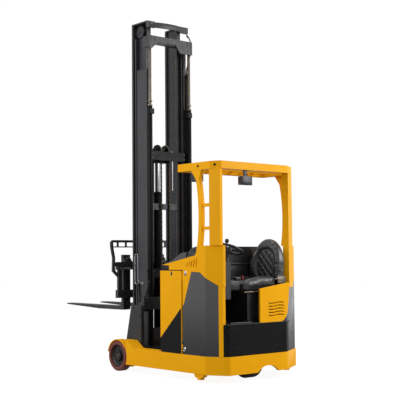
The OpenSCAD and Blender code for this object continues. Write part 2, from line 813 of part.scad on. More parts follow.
module fork() {
    z0 = fork_top - fork_t;
    side_view(fork_y - fork_w / 2, fork_y + fork_w / 2, [[fork_x, z0 + 12], [fork_x + 12, z0], [fork_x + 500, z0],
        [overall_l - 6, fork_top - 14], [overall_l, fork_top - 8], [overall_l - 4, fork_top],
        [fork_x + 60, fork_top], [fork_x + fork_t, fork_top + 15],
        [fork_x + fork_t, 1273], [fork_x, 1273], [fork_x, bar_z[1][1] + 40], [frame_x + 34, bar_z[1][1] + 40],
        [frame_x + 34, bar_z[1][1] + gap], [fork_x, bar_z[1][1] + gap]]);
}
module fork_left() { color(BLACK) placed() fork(); }
module fork_right() { color(BLACK) placed() mirror([0, 1, 0]) fork(); }

chassis_base();
skid_feet();
leg_left();
leg_right();
load_axles();
battery();
battery_hood();
drive_motor();
drive_gear();
drive_tyre();
drive_hub();
load_tyre_left();
load_tyre_right();
load_hub_left();
load_hub_right();
service_door();
side_panel_left();
side_panel_right();
side_plate_left();
side_plate_right();
corner_posts();
rear_panel();
rear_cover();
floor_step();
front_wall();
console();
pedals();
steering_wheel();
seat_base();
seat_cushion();
seat_back();
guard_roof();
guard_posts_left();
guard_posts_right();
work_lamps();
reach_barrels();
reach_frame();
reach_rollers();
reach_rods();
outer_rail_left();
outer_rail_right();
outer_ties();
lift_barrels();
middle_rail_left();
middle_rail_right();
middle_ties();
lift_rods();
inner_rail_left();
inner_rail_right();
inner_ties();
free_lift_barrel();
lift_head();
lift_carriage();
tilt_frame();
fork_frame();
load_backrest();
fork_left();
fork_right();
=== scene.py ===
import bmesh
import bpy
import math
from mathutils import Matrix, Vector
from mathutils.bvhtree import BVHTree


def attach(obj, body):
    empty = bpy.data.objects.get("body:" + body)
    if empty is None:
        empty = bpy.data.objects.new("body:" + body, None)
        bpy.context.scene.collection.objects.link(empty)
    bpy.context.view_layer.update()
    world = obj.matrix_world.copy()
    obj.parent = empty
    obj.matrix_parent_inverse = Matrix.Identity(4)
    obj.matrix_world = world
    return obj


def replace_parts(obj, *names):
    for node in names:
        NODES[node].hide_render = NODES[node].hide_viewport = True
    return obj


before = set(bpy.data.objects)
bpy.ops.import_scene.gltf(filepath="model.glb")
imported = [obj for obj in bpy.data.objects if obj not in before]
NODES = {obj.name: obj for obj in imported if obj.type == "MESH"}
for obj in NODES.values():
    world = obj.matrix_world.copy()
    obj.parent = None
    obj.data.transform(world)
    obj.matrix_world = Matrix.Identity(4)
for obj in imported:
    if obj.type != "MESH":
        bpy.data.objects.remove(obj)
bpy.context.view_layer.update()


# Camera
# Stands to the left of the truck's rear, a little above waist height. Its place and lens come
# from fitting the truck's measured corners to the photograph.
yaw, pitch, roll = -0.7062, 0.0607, -0.0084
aim = Vector((math.cos(yaw) * math.cos(pitch), math.sin(yaw) * math.cos(pitch), math.sin(pitch)))
level = Vector((math.sin(yaw), -math.cos(yaw), 0))
above = level.cross(aim)
right = level * math.cos(roll) + above * math.sin(roll)
up = above * math.cos(roll) - level * math.sin(roll)
lens = bpy.data.cameras.new("camera")
lens.sensor_width = 36
lens.lens = 85.61
stand = Matrix.Translation((-8.5165, 6.7538, 1.2294))
camera = bpy.data.objects.new("camera", lens)
camera.matrix_world = stand @ Matrix((right, up, -aim)).transposed().to_4x4()
bpy.context.scene.collection.objects.link(camera)
bpy.context.scene.camera = camera
bpy.context.scene.view_settings.view_transform = "Standard"
bpy.context.scene.view_settings.look = "None"


# Studio
# A seamless white room: pale floor that keeps the soft shadow, white surroundings, one large
# soft light on the truck's rear face, a weaker one on its left side and one overhead.
def add(tree, kind, inputs=None, **settings):
    """A node in a tree, with its inputs set to values or linked to other nodes' outputs."""
    made = tree.nodes.new(kind)
    for name, value in settings.items():
        setattr(made, name, value)
    for name, value in (inputs or {}).items():
        if isinstance(value, bpy.types.NodeSocket):
            tree.links.new(value, made.inputs[name])
        else:
            made.inputs[name].default_value = value
    return made


world = bpy.data.worlds.new("studio")
bpy.context.scene.world = world
world.use_nodes = True
tree = world.node_tree
tree.nodes.clear()
ray = add(tree, "ShaderNodeLightPath")
direct = add(tree, "ShaderNodeMath", {0: ray.outputs["Is Camera Ray"], 1: ray.outputs["Is Transmission Ray"]},
             operation="MAXIMUM")
seen = add(tree, "ShaderNodeMath", {0: direct.outputs[0], 1: ray.outputs["Is Glossy Ray"]}, operation="MAXIMUM")
room = add(tree, "ShaderNodeBackground", {"Color": (0.95, 0.97, 1, 1), "Strength": 0.55})
white = add(tree, "ShaderNodeBackground", {"Color": (1, 1, 1, 1), "Strength": 1.02})
both = add(tree, "ShaderNodeMixShader", {0: seen.outputs[0], 1: room.outputs[0], 2: white.outputs[0]})
add(tree, "ShaderNodeOutputWorld", {0: both.outputs[0]})

floor_mesh = bpy.data.meshes.new("floor")
floor_mesh.from_pydata([(-60, -60, 0), (60, -60, 0), (60, 60, 0), (-60, 60, 0)], [], [(0, 1, 2, 3)])
floor = bpy.data.objects.new("floor", floor_mesh)
bpy.context.scene.collection.objects.link(floor)
paper = bpy.data.materials.new("studio_floor")
paper.use_nodes = True
tree = paper.node_tree
tree.nodes.clear()
ray = add(tree, "ShaderNodeLightPath")
direct = add(tree, "ShaderNodeMath", {0: ray.outputs["Is Camera Ray"], 1: ray.outputs["Is Transmission Ray"]},
             operation="MAXIMUM")
# Painted shade in reflections: to glossy rays the floor glows dimmer within a few metres of the truck and brighter far
# off, standing in for the shaded floor round it.
where = add(tree, "ShaderNodeTexCoord")
away = add(tree, "ShaderNodeVectorMath", {0: where.outputs["Object"]}, operation="LENGTH")
bright = add(tree, "ShaderNodeMapRange", {"Value": away.outputs["Value"], "From Min": 2, "From Max": 14,
                                          "To Min": 0.12, "To Max": 0.9})
other = add(tree, "ShaderNodeMix", {0: ray.outputs["Is Glossy Ray"], 2: 0.22, 3: bright.outputs[0]})
level = add(tree, "ShaderNodeMix", {0: direct.outputs[0], 2: other.outputs[0], 3: 0.93})
matt = add(tree, "ShaderNodeBsdfDiffuse", {"Color": (0.13, 0.13, 0.13, 1)})
glow = add(tree, "ShaderNodeEmission", {"Color": (1, 1, 1, 1), "Strength": level.outputs[0]})
summed = add(tree, "ShaderNodeAddShader", {0: matt.outputs[0], 1: glow.outputs[0]})
add(tree, "ShaderNodeOutputMaterial", {0: summed.outputs[0]})
floor_mesh.materials.append(paper)

for name, place, target, width, height, power in [
    ("rear_softbox", (-5.5, -3.2, 3.6), (-0.9, 0.2, 1.1), 3.2, 3.2, 260),
    ("left_softbox", (1.2, 6.6, 3.4), (0, 0, 1.3), 2.2, 3.6, 210),
    ("overhead", (0, 0.5, 7.5), (0, 0, 1), 5, 5, 200),
]:
    lamp = bpy.data.lights.new(name, "AREA")
    lamp.shape = "RECTANGLE"
    lamp.size, lamp.size_y, lamp.energy = width, height, power
    holder = bpy.data.objects.new(name, lamp)
    holder.location = place
    holder.rotation_euler = (Vector(target) - Vector(place)).to_track_quat("-Z", "Y").to_euler()
    bpy.context.scene.collection.objects.link(holder)


# Paint on the welded plate
# Powder coat over sheet steel: an even colour with a faint orange peel, a little duller where it
# is handled and dusty towards the floor. The same build serves the darker paints.
def new_group(name, inputs, outputs):
    made = bpy.data.node_groups.new(name, "ShaderNodeTree")
    for label, value in inputs:
        made.interface.new_socket(label, in_out="INPUT", socket_type="NodeSocketFloat").default_value = value
    for label, kind in outputs:
        made.interface.new_socket(label, in_out="OUTPUT", socket_type=kind)
    return made, made.nodes.new("NodeGroupInput"), made.nodes.new("NodeGroupOutput")


MOTTLE, given, result = new_group("mottle", [("Scale", 3), ("Low", 0), ("High", 1)], [("Value", "NodeSocketFloat")])
where = add(MOTTLE, "ShaderNodeTexCoord")
cloud = add(MOTTLE, "ShaderNodeTexNoise", {"Vector": where.outputs["Object"], "Scale": given.outputs["Scale"],
                                           "Detail": 5, "Roughness": 0.6})
spread = add(MOTTLE, "ShaderNodeMapRange", {"Value": cloud.outputs[0], "From Min": 0.3, "From Max": 0.7,
                                            "To Min": given.outputs["Low"], "To Max": given.outputs["High"]})
MOTTLE.links.new(spread.outputs[0], result.inputs["Value"])

GRAIN, given, result = new_group("grain", [("Scale", 300), ("Depth", 0.0002)], [("Normal", "NodeSocketVector")])
where = add(GRAIN, "ShaderNodeTexCoord")
pits = add(GRAIN, "ShaderNodeTexNoise", {"Vector": where.outputs["Object"], "Scale": given.outputs["Scale"],
                                         "Detail": 2})
raised = add(GRAIN, "ShaderNodeBump", {"Height": pits.outputs[0], "Distance": given.outputs["Depth"]})
GRAIN.links.new(raised.outputs[0], result.inputs["Normal"])

DUST, given, result = new_group("settled_dust", [("Top", 0.5), ("Amount", 0.2)], [("Mask", "NodeSocketFloat")])
where = add(DUST, "ShaderNodeTexCoord")
split = add(DUST, "ShaderNodeSeparateXYZ", {0: where.outputs["Object"]})
low = add(DUST, "ShaderNodeMapRange", {"Value": split.outputs["Z"], "From Min": given.outputs["Top"], "From Max": 0})
patchy = add(DUST, "ShaderNodeTexNoise", {"Vector": where.outputs["Object"], "Scale": 9, "Detail": 6,
                                          "Roughness": 0.7})
drifts = add(DUST, "ShaderNodeMapRange", {"Value": patchy.outputs[0], "From Min": 0.35, "From Max": 0.75})
spread = add(DUST, "ShaderNodeMath", {0: low.outputs[0], 1: drifts.outputs[0]}, operation="MULTIPLY")
scaled = add(DUST, "ShaderNodeMath", {0: spread.outputs[0], 1: given.outputs["Amount"]}, operation="MULTIPLY")
DUST.links.new(scaled.outputs[0], result.inputs["Mask"])


def shader(name, colour, other, rough, gloss=0.5, metal=0.0, scale=3.0, grain=(260, 0.00003), dust=0.0,
           sheen=0.0):
    """A finish that drifts between two tones, with its own grain, wear of the gloss and dust."""
    made = bpy.data.materials.new(name)
    made.use_nodes = True
    tree = made.node_tree
    body = tree.nodes["Principled BSDF"]
    patches = add(tree, "ShaderNodeGroup", {}, node_tree=MOTTLE)
    patches.inputs["Scale"].default_value = scale
    tones = add(tree, "ShaderNodeMix", {0: patches.outputs[0], 6: (*colour, 1), 7: (*other, 1)}, data_type="RGBA")
    settled = add(tree, "ShaderNodeGroup", {}, node_tree=DUST)
    settled.inputs["Amount"].default_value = dust
    dusty = add(tree, "ShaderNodeMix", {0: settled.outputs[0], 6: tones.outputs[2], 7: (0.2, 0.18, 0.15, 1)},
                data_type="RGBA")
    tree.links.new(dusty.outputs[2], body.inputs["Base Color"])
    rubbed = add(tree, "ShaderNodeGroup", {}, node_tree=MOTTLE)
    rubbed.inputs["Scale"].default_value = scale * 3
    rubbed.inputs["Low"].default_value = rough * 0.85
    rubbed.inputs["High"].default_value = min(rough * 1.2, 1)
    tree.links.new(rubbed.outputs[0], body.inputs["Roughness"])
    peel = add(tree, "ShaderNodeGroup", {}, node_tree=GRAIN)
    peel.inputs["Scale"].default_value, peel.inputs["Depth"].default_value = grain
    tree.links.new(peel.outputs[0], body.inputs["Normal"])
    body.inputs["Metallic"].default_value = metal
    body.inputs["Specular IOR Level"].default_value = gloss
    body.inputs["Sheen Weight"].default_value = sheen
    return made


YELLOW = shader("yellow_paint", (0.87, 0.385, 0.002), (0.9, 0.415, 0.003), 0.4, 0.07)
SATIN = shader("black_panel", (0.005, 0.005, 0.006), (0.009, 0.009, 0.01), 0.16, 0.9, dust=0.06)
BLACK = shader("black_paint", (0.002, 0.002, 0.002), (0.005, 0.005, 0.005), 0.4, 0.1, dust=0.04)
MAST = shader("mast_paint", (0.022, 0.021, 0.024), (0.034, 0.032, 0.036), 0.4, 0.35, scale=5, dust=0.05)
GREY = shader("grey_paint", (0.04, 0.04, 0.045), (0.06, 0.06, 0.065), 0.36, 0.4, dust=0.05)
STEEL = shader("bright_steel", (0.5, 0.5, 0.52), (0.38, 0.38, 0.4), 0.2, metal=1.0, scale=20)
DULL = shader("oiled_steel", (0.1, 0.085, 0.07), (0.17, 0.14, 0.11), 0.38, metal=1.0, scale=30)
TYRE = shader("polyurethane", (0.13, 0.017, 0.012), (0.18, 0.028, 0.02), 0.4, 0.4, scale=8,
              grain=(700, 0.0002), dust=0.3)
# Painted shade: a darker copy of the tyre polyurethane for the drive tyre, which sits in the shade under the truck.
SHADED_TYRE = shader("worn_tyre", (0.02, 0.009, 0.007), (0.035, 0.014, 0.01), 0.5, 0.3, scale=8,
               grain=(700, 0.0002), dust=0.2)
PLASTIC = shader("black_plastic", (0.007, 0.007, 0.008), (0.012, 0.012, 0.013), 0.42, 0.4, grain=(900, 0.0003))
VINYL = shader("seat_vinyl", (0.009, 0.009, 0.01), (0.015, 0.015, 0.016), 0.34, 0.5, grain=(520, 0.0003), sheen=0.08)
FORGED = shader("fork_black", (0.01, 0.01, 0.011), (0.02, 0.02, 0.02), 0.45, 0.4, scale=7)
RUBBER = shader("rubber", (0.006, 0.006, 0.006), (0.012, 0.012, 0.012), 0.7, 0.3, scale=9, grain=(900, 0.0002))
THREAD = shader("light_thread", (0.42, 0.4, 0.36), (0.55, 0.52, 0.48), 0.8, 0.2, scale=60)
RED = shader("red_plastic", (0.16, 0.012, 0.01), (0.2, 0.018, 0.012), 0.4, 0.3)

PAINTED = {
    "yellow_paint": YELLOW, "black_paint": BLACK, "mast_paint": MAST, "grey_paint": GREY, "steel": STEEL,
    "tyre": TYRE, "black_plastic": PLASTIC, "seat_cover": VINYL,
}
for name, node in NODES.items():
    for i, old in enumerate(node.data.materials):
        for slot, better in PAINTED.items():
            if old.name.startswith(slot):
                node.data.materials[i] = better
for better, names in (
        (FORGED, ("fork_left", "fork_right", "reach_frame")), (SATIN, ("side_panel_left", "side_panel_right")),
        (SHADED_TYRE, ("drive_tyre",)), (BLACK, ("outer_ties",)), (PLASTIC, ("load_hub_left", "load_hub_right")),
        # The lift rods are hard chrome but take the dark oiled steel: painted shade, standing in for the dark
        # surroundings their chrome reflects.
        (DULL, ("lift_rods",))):
    for name in names:
        NODES[name].data.materials[0] = better


# Soft edges
# Sheet, forgings and mouldings all leave the works with a small radius, which catches the light.
for name, node in NODES.items():
    weld = node.modifiers.new("weld", "WELD")
    weld.merge_threshold = 0.00002
    edge = node.modifiers.new("soft_edge", "BEVEL")
    edge.width = 0.0022
    edge.segments = 2
    edge.limit_method = "ANGLE"
    edge.angle_limit = math.radians(38)
    edge.harden_normals = True


# Two paints on one part
# The door is sprayed yellow and its lower corner black along a slanted line, short of its rear edge.
# The lift head's rod is hard chrome below its black yoke.
def paint_mask(name, build):
    """A group that is 1 where build's signed distance is above zero, and 0 elsewhere."""
    made, given, result = new_group(name, [("Edge", 0.0006)], [("Mask", "NodeSocketFloat")])
    where = add(made, "ShaderNodeTexCoord")
    split = add(made, "ShaderNodeSeparateXYZ", {0: where.outputs["Object"]})
    signed = build(made, split.outputs["X"], split.outputs["Y"], split.outputs["Z"])
    inside = add(made, "ShaderNodeMapRange", {"Value": signed, "From Min": 0, "From Max": given.outputs["Edge"]})
    made.links.new(inside.outputs[0], result.inputs["Mask"])
    return made


def overpainted(base, name, mask, colour, rough=None, metal=None):
    """A copy of a finish with a second one laid over it where the mask is 1."""
    made = base.copy()
    made.name = name
    tree = made.node_tree
    body = tree.nodes["Principled BSDF"]
    where = add(tree, "ShaderNodeGroup", {}, node_tree=mask)
    under = body.inputs["Base Color"].links[0].from_socket
    mixed = add(tree, "ShaderNodeMix", {0: where.outputs[0], 6: under, 7: (*colour, 1)}, data_type="RGBA")
    tree.links.new(mixed.outputs[2], body.inputs["Base Color"])
    for key, value in (("Roughness", rough), ("Metallic", metal)):
        if value is not None:
            socket = body.inputs[key]
            low = socket.links[0].from_socket if socket.is_linked else socket.default_value
            blended = add(tree, "ShaderNodeMix", {0: where.outputs[0], 2: low, 3: value})
            tree.links.new(blended.outputs[0], socket)
    return made


def below_the_line(tree, x, y, z):
    high, low = (-1.0435, 0.738), (-0.7025, 0.415)
    slope = (low[1] - high[1]) / (low[0] - high[0])
    fall = add(tree, "ShaderNodeMath", {0: x, 1: slope, 2: high[1] - slope * high[0]}, operation="MULTIPLY_ADD")
    under = add(tree, "ShaderNodeMath", {0: fall.outputs[0], 1: z}, operation="SUBTRACT")
    edge = add(tree, "ShaderNodeMath", {0: x, 1: -1.0355}, operation="SUBTRACT")
    return add(tree, "ShaderNodeMath", {0: under.outputs[0], 1: edge.outputs[0]}, operation="MINIMUM").outputs[0]


def on_the_rod(tree, x, y, z):
    along = add(tree, "ShaderNodeMath", {0: x, 1: 0.0875}, operation="SUBTRACT")
    aside = add(tree, "ShaderNodeMath", {0: y, 1: 0.058}, operation="SUBTRACT")
    radius = add(tree, "ShaderNodeCombineXYZ", {0: along.outputs[0], 1: aside.outputs[0]})
    far = add(tree, "ShaderNodeVectorMath", {0: radius.outputs[0]}, operation="LENGTH")
    near = add(tree, "ShaderNodeMath", {0: 0.0292, 1: far.outputs["Value"]}, operation="SUBTRACT")
    under = add(tree, "ShaderNodeMath", {0: 2.315, 1: z}, operation="SUBTRACT")
    return add(tree, "ShaderNodeMath", {0: near.outputs[0], 1: under.outputs[0]}, operation="MINIMUM").outputs[0]


NODES["service_door"].data.materials[0] = overpainted(
    YELLOW, "door_paint", paint_mask("below_the_line", below_the_line), (0.01, 0.01, 0.011))
NODES["lift_head"].data.materials[0] = overpainted(
    BLACK, "lift_head_finish", paint_mask("on_the_rod", on_the_rod), (0.5, 0.5, 0.52), 0.15, 1.0)


# Door fittings
# A teardrop lock plate, the latch on the yellow strip beside the door, a chromed lashing ring at the
# foot of the black panel and the black rubber buffer over the door, all screwed to the sheet.
HALF_LENGTH = 1617.5


def P(x, y, z):
    """A place in millimetres: x from the truck's rear face, y to its left, z from the floor."""
    return Vector(((x - HALF_LENGTH) / 1000, y / 1000, z / 1000))


def finished(name, mesh, body, slot, *materials):
    for material in materials:
        mesh.materials.append(material)
    made = bpy.data.objects.new(name, mesh)
    bpy.context.scene.collection.objects.link(made)
    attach(made, body)
    return made


def from_bmesh(name, bm, body, slot, *materials, sharp=38):
    bmesh.ops.recalc_face_normals(bm, faces=bm.faces)
    for face in bm.faces:
        face.smooth = True
    for line in bm.edges:
        line.smooth = len(line.link_faces) == 2 and line.calc_face_angle() < math.radians(sharp)
    mesh = bpy.data.meshes.new(name)
    bm.to_mesh(mesh)
    bm.free()
    return finished(name, mesh, body, slot, *materials)


def slab(bm, low, high, radius=1.5, turn=None):
    """A block with rounded edges between two corners in millimetres."""
    a, b = P(*low), P(*high)
    made = bmesh.ops.create_cube(bm, size=1)["verts"]
    for v in made:
        v.co = Vector([m + (n - m) * (c + 0.5) for m, n, c in zip(a, b, v.co)])
    if radius:
        edges = list({e for v in made for e in v.link_edges})
        made = bmesh.ops.bevel(bm, geom=edges, offset=radius / 1000, segments=2, affect="EDGES", profile=0.5)["verts"]
    if turn:
        centre = (a + b) / 2
        bmesh.ops.rotate(bm, verts=list(set(made)), cent=centre, matrix=turn)
    return made


def band(bm, low, high):
    """Quads between two closed rings of points."""
    for i in range(len(low)):
        bm.faces.new((low[i], low[(i + 1) % len(low)], high[(i + 1) % len(low)], high[i]))


def turned(bm, profile, place, axis, steps=32):
    """A lathe-turned part: profile of (radius, height) in millimetres, standing at a place along an axis."""
    rotation = Vector((0, 0, 1)).rotation_difference(Vector(axis)).to_matrix()
    rings = []
    for radius, height in profile:
        ring = []
        for i in range(steps):
            angle = 2 * math.pi * i / steps
            local = Vector((radius * math.cos(angle), radius * math.sin(angle), height)) / 1000
            ring.append(bm.verts.new(P(*place) + rotation @ local))
        rings.append(ring)
    for low, high in zip(rings, rings[1:]):
        band(bm, low, high)
    bm.faces.new(rings[0][::-1])
    bm.faces.new(rings[-1])


LOCK_X, LOCK_STEPS = 736, 28
bm = bmesh.new()
outline = []
for i in range(LOCK_STEPS):
    angle = 2 * math.pi * i / LOCK_STEPS
    stretch = 1 + 0.75 * max(0, math.sin(angle)) ** 3
    outline.append((LOCK_X + 15 * math.cos(angle), 1066 + 17 * math.sin(angle) * stretch))
rings = [[bm.verts.new(P(LOCK_X + (x - LOCK_X) * shrink, y, 1070 + (z - 1070) * shrink)) for x, z in outline]
         for y, shrink in ((634.5, 1), (635.4, 1), (636, 0.9))]
for low, high in zip(rings, rings[1:]):
    band(bm, low, high)
bm.faces.new(rings[-1])
turned(bm, [(7, 0), (7, 0.8), (6, 1.2), (5.4, 0.4), (0.6, 0.4)], (LOCK_X, 635.8, 1064), (0, 1, 0), 24)
slab(bm, (734.8, 636, 1059), (737.2, 636.9, 1069), 0.3)
from_bmesh("door_lock", bm, "door", "black_plastic", PLASTIC)

bm = bmesh.new()
slab(bm, (506, 626, 1052), (534, 631, 1098), 2)
slab(bm, (513, 630, 1060), (527, 636, 1090), 2.5, Matrix.Rotation(math.radians(24), 3, "Y"))
turned(bm, [(5, 0), (5, 5), (3.5, 6)], (520, 634, 1075), (0, 1, 0), 20)
from_bmesh("door_latch", bm, "chassis", "steel", STEEL)

bm = bmesh.new()
turned(bm, [(22, 0), (22, 4), (20, 6), (17, 6.6), (15, 5), (15, 2)], (537, 627, 313), (0, 1, 0), 40)
turned(bm, [(7, 0), (7, 9), (5, 10.5)], (537, 627, 322), (0, 1, 0), 24)
RING, WIRE = 14, 2.6
RING_STEPS, WIRE_STEPS = 32, 10
for i in range(RING_STEPS):
    for j in range(WIRE_STEPS):
        a, b = 2 * math.pi * i / RING_STEPS, 2 * math.pi * j / WIRE_STEPS
        bm.verts.new(P(537 + (RING + WIRE * math.cos(b)) * math.cos(a), 636 + WIRE * math.sin(b),
                       309 + (RING + WIRE * math.cos(b)) * math.sin(a)))
bm.verts.ensure_lookup_table()
first = len(bm.verts) - RING_STEPS * WIRE_STEPS
for i in range(RING_STEPS):
    for j in range(WIRE_STEPS):
        bm.faces.new([bm.verts[first + (i + p) % RING_STEPS * WIRE_STEPS + (j + q) % WIRE_STEPS]
                      for p, q in ((0, 0), (1, 0), (1, 1), (0, 1))])
from_bmesh("lashing_ring", bm, "chassis", "steel", STEEL)

bm = bmesh.new()
slab(bm, (786, 602, 1104), (914, 629, 1154), 4)
slab(bm, (575, 608, 1101.5), (786, 626, 1109), 1.5)
from_bmesh("door_buffer", bm, "chassis", "black_plastic", RUBBER)


# Screws and nuts
# Zinc-plated hexagon heads on washers hold the bolted parts. One tree stands a head at every point
# of a seed mesh, along the point's own direction.
def new_tree(name, inputs):
    made = bpy.data.node_groups.new(name, "GeometryNodeTree")
    made.interface.new_socket("Geometry", in_out="INPUT", socket_type="NodeSocketGeometry")
    for label, kind, value in inputs:
        socket = made.interface.new_socket(label, in_out="INPUT", socket_type="NodeSocket" + kind)
        if value is not None:
            socket.default_value = value
    made.interface.new_socket("Geometry", in_out="OUTPUT", socket_type="NodeSocketGeometry")
    return made, made.nodes.new("NodeGroupInput"), made.nodes.new("NodeGroupOutput")


def close_tree(tree, given, result, geometry):
    real = add(tree, "GeometryNodeRealizeInstances", {0: geometry})
    smooth = add(tree, "GeometryNodeSetShadeSmooth", {"Geometry": real.outputs[0]})
    painted = add(tree, "GeometryNodeSetMaterial", {"Geometry": smooth.outputs[0],
                                                    "Material": given.outputs["Material"]})
    tree.links.new(painted.outputs[0], result.inputs[0])


def as_seen(thing):
    """The object's mesh with its modifiers applied."""
    return bpy.data.meshes.new_from_object(thing.evaluated_get(bpy.context.evaluated_depsgraph_get()))


def grown(name, seed, tree, values, body, slot):
    """Runs a tree on a seed mesh and keeps the result as a plain mesh on a body."""
    carrier = bpy.data.objects.new(name + "_seed", seed)
    bpy.context.scene.collection.objects.link(carrier)
    grow = carrier.modifiers.new("grow", "NODES")
    grow.node_group = tree
    for item in tree.interface.items_tree:
        if item.in_out == "INPUT" and item.name in values:
            grow[item.identifier] = values[item.name]
    mesh = as_seen(carrier)
    bpy.data.objects.remove(carrier)
    mesh.name = name
    return finished(name, mesh, body, slot)


SCREWS, given, result = new_tree("screws", [("Head Radius", "Float", 0.007), ("Head Height", "Float", 0.005),
                                            ("Material", "Material", None)])
head = add(SCREWS, "GeometryNodeMeshCylinder", {"Vertices": 6, "Radius": given.outputs["Head Radius"],
                                                "Depth": given.outputs["Head Height"]})
broad = add(SCREWS, "ShaderNodeMath", {0: given.outputs["Head Radius"], 1: 1.45}, operation="MULTIPLY")
thin = add(SCREWS, "ShaderNodeMath", {0: given.outputs["Head Height"], 1: 0.3}, operation="MULTIPLY")
washer = add(SCREWS, "GeometryNodeMeshCylinder", {"Vertices": 24, "Radius": broad.outputs[0],
                                                  "Depth": thin.outputs[0]})
half_head = add(SCREWS, "ShaderNodeMath", {0: given.outputs["Head Height"], 1: 0.5}, operation="MULTIPLY")
lift = add(SCREWS, "ShaderNodeCombineXYZ", {2: half_head.outputs[0]})
raised = add(SCREWS, "GeometryNodeTransform", {"Geometry": head.outputs[0], "Translation": lift.outputs[0]})
joined = add(SCREWS, "GeometryNodeJoinGeometry")
SCREWS.links.new(raised.outputs[0], joined.inputs[0])
SCREWS.links.new(washer.outputs[0], joined.inputs[0])
split = add(SCREWS, "GeometryNodeSplitEdges", {0: joined.outputs[0]})
facing = add(SCREWS, "GeometryNodeInputNamedAttribute", {"Name": "facing"}, data_type="FLOAT_VECTOR")
turn = add(SCREWS, "FunctionNodeAlignRotationToVector", {"Vector": facing.outputs[0]}, axis="Z")
stood = add(SCREWS, "GeometryNodeInstanceOnPoints", {"Points": given.outputs[0], "Instance": split.outputs[0],
                                                     "Rotation": turn.outputs[0]})
close_tree(SCREWS, given, result, stood.outputs[0])


def screws(name, body, spots, radius=7, height=5, material=STEEL, slot="steel"):
    """Screws of one size on one body: each spot is a place and the way its head faces."""
    seed = bpy.data.meshes.new(name)
    seed.from_pydata([P(*place) for place, _ in spots], [], [])
    facing = seed.attributes.new("facing", "FLOAT_VECTOR", "POINT")
    for i, (_, way) in enumerate(spots):
        facing.data[i].vector = way
    return grown(name, seed, SCREWS, {"Head Radius": radius / 1000, "Head Height": height / 1000,
                                      "Material": material}, body, slot)


LOAD_WHEEL_X, LOAD_WHEEL_Z = 1700, 165
slant = Vector((-33, 15, 0)).normalized()
screws("panel_screws", "chassis",
       [((11.5, 508, z), slant) for z in (343, 500)]
       + [((5, y, 343), (-1, 0, 0)) for y in (-262, -130, 10, 150, 290, 400)]
       + [((x, s * 627, z), (0, s, 0)) for s in (-1, 1) for x, z in ((500, 560), (240, 300))],
       5, 4, PLASTIC, "black_plastic")
roof_slant = Vector((-57, 105, 0)).normalized()
screws("guard_screws", "chassis",
       [((104, 587, 2146), roof_slant)] + [((330, s * 612, 2146), (0, s, 0)) for s in (-1, 1)],
       9, 7, BLACK, "black_paint")
for side, s in (("left", 1), ("right", -1)):
    screws("hub_bolts_" + side, "load_wheel_" + side,
           [((LOAD_WHEEL_X + 40 * math.cos(a), s * 629, LOAD_WHEEL_Z + 40 * math.sin(a)), (0, s, 0))
            for a in [math.radians(60 * i) for i in range(6)]], 5.5, 5, PLASTIC, "black_plastic")
    bm = bmesh.new()
    turned(bm, [(24, 0), (24, 4), (20, 8), (8, 9), (7, 6)], (LOAD_WHEEL_X, s * 621, LOAD_WHEEL_Z), (0, s, 0), 36)
    from_bmesh("axle_cap_" + side, bm, "chassis", "steel", DULL)
screws("reach_bolts", "reach_carriage",
       [((1450, s * y, z), (-1, 0, 0)) for s in (-1, 1) for y in (330, 390) for z in (700, 770)]
       + [((x, s * 488, z), (0, s, 0)) for s in (-1, 1)
          for x, z in ((1480, 680), (1480, 600), (1600, 680), (1490, 300), (1640, 300))]
       + [((1568, y, z), (-1, 0, 0)) for y in (-230, 230) for z in (2365, 2415, 1035, 1085)],
       9, 7, MAST, "mast_paint")
screws("tie_bolts", "mast_middle",
       [((1501, s * y, z), (-1, 0, 0)) for s in (-1, 1) for y in (285, 240) for z in (3690, 3720)],
       9, 7, MAST, "mast_paint")
screws("head_bolts", "mast_inner",
       [((1562, s * y, 3912), (-1, 0, 0)) for s in (-1, 1) for y in (215, 275)], 5, 4, MAST, "mast_paint")
screws("carriage_bolts", "fork_carriage",
       [((2038, s * y, z), (1, 0, 0)) for s in (-1, 1) for y in (90, 390) for z in (800, 850, 1120, 1170)],
       9, 7, FORGED, "black_paint")


# Work lamps
# Two sealed lamps under the roof: a die-cast housing with cooling fins behind and a dark front in a
# black bezel. The rear one is bolted through the two ears of its stirrup.
LAMP_FRONT = shader("lamp_front", (0.012, 0.012, 0.014), (0.03, 0.03, 0.034), 0.3, 0.3, scale=40, grain=(160, 0.0003))

ROWS, given, result = new_tree("rows", [("Count", "Int", 8), ("Step", "Vector", (0.01, 0, 0)),
                                        ("Size", "Vector", (0.01, 0.01, 0.01)), ("Material", "Material", None)])
block = add(ROWS, "GeometryNodeMeshCube", {"Size": given.outputs["Size"]})
split = add(ROWS, "GeometryNodeSplitEdges", {0: block.outputs[0]})
index = add(ROWS, "GeometryNodeInputIndex")
start = add(ROWS, "GeometryNodeInstanceOnPoints", {"Points": given.outputs[0], "Instance": split.outputs[0]})
many = add(ROWS, "GeometryNodeDuplicateElements", {"Geometry": start.outputs[0], "Amount": given.outputs["Count"]},
           domain="INSTANCE")
shift = add(ROWS, "ShaderNodeVectorMath", {0: given.outputs["Step"]}, operation="SCALE")
ROWS.links.new(many.outputs["Duplicate Index"], shift.inputs["Scale"])
moved = add(ROWS, "GeometryNodeTranslateInstances", {"Instances": many.outputs[0], "Translation": shift.outputs[0],
                                                     "Local Space": False})
close_tree(ROWS, given, result, moved.outputs[0])


def rows(name, body, start, count, step, size, material, slot):
    """A row of equal bars in millimetres, one step apart from the start."""
    seed = bpy.data.meshes.new(name)
    seed.from_pydata([P(*start)], [], [])
    return grown(name, seed, ROWS, {"Count": count, "Step": [v / 1000 for v in step],
                                    "Size": [v / 1000 for v in size], "Material": material}, body, slot)


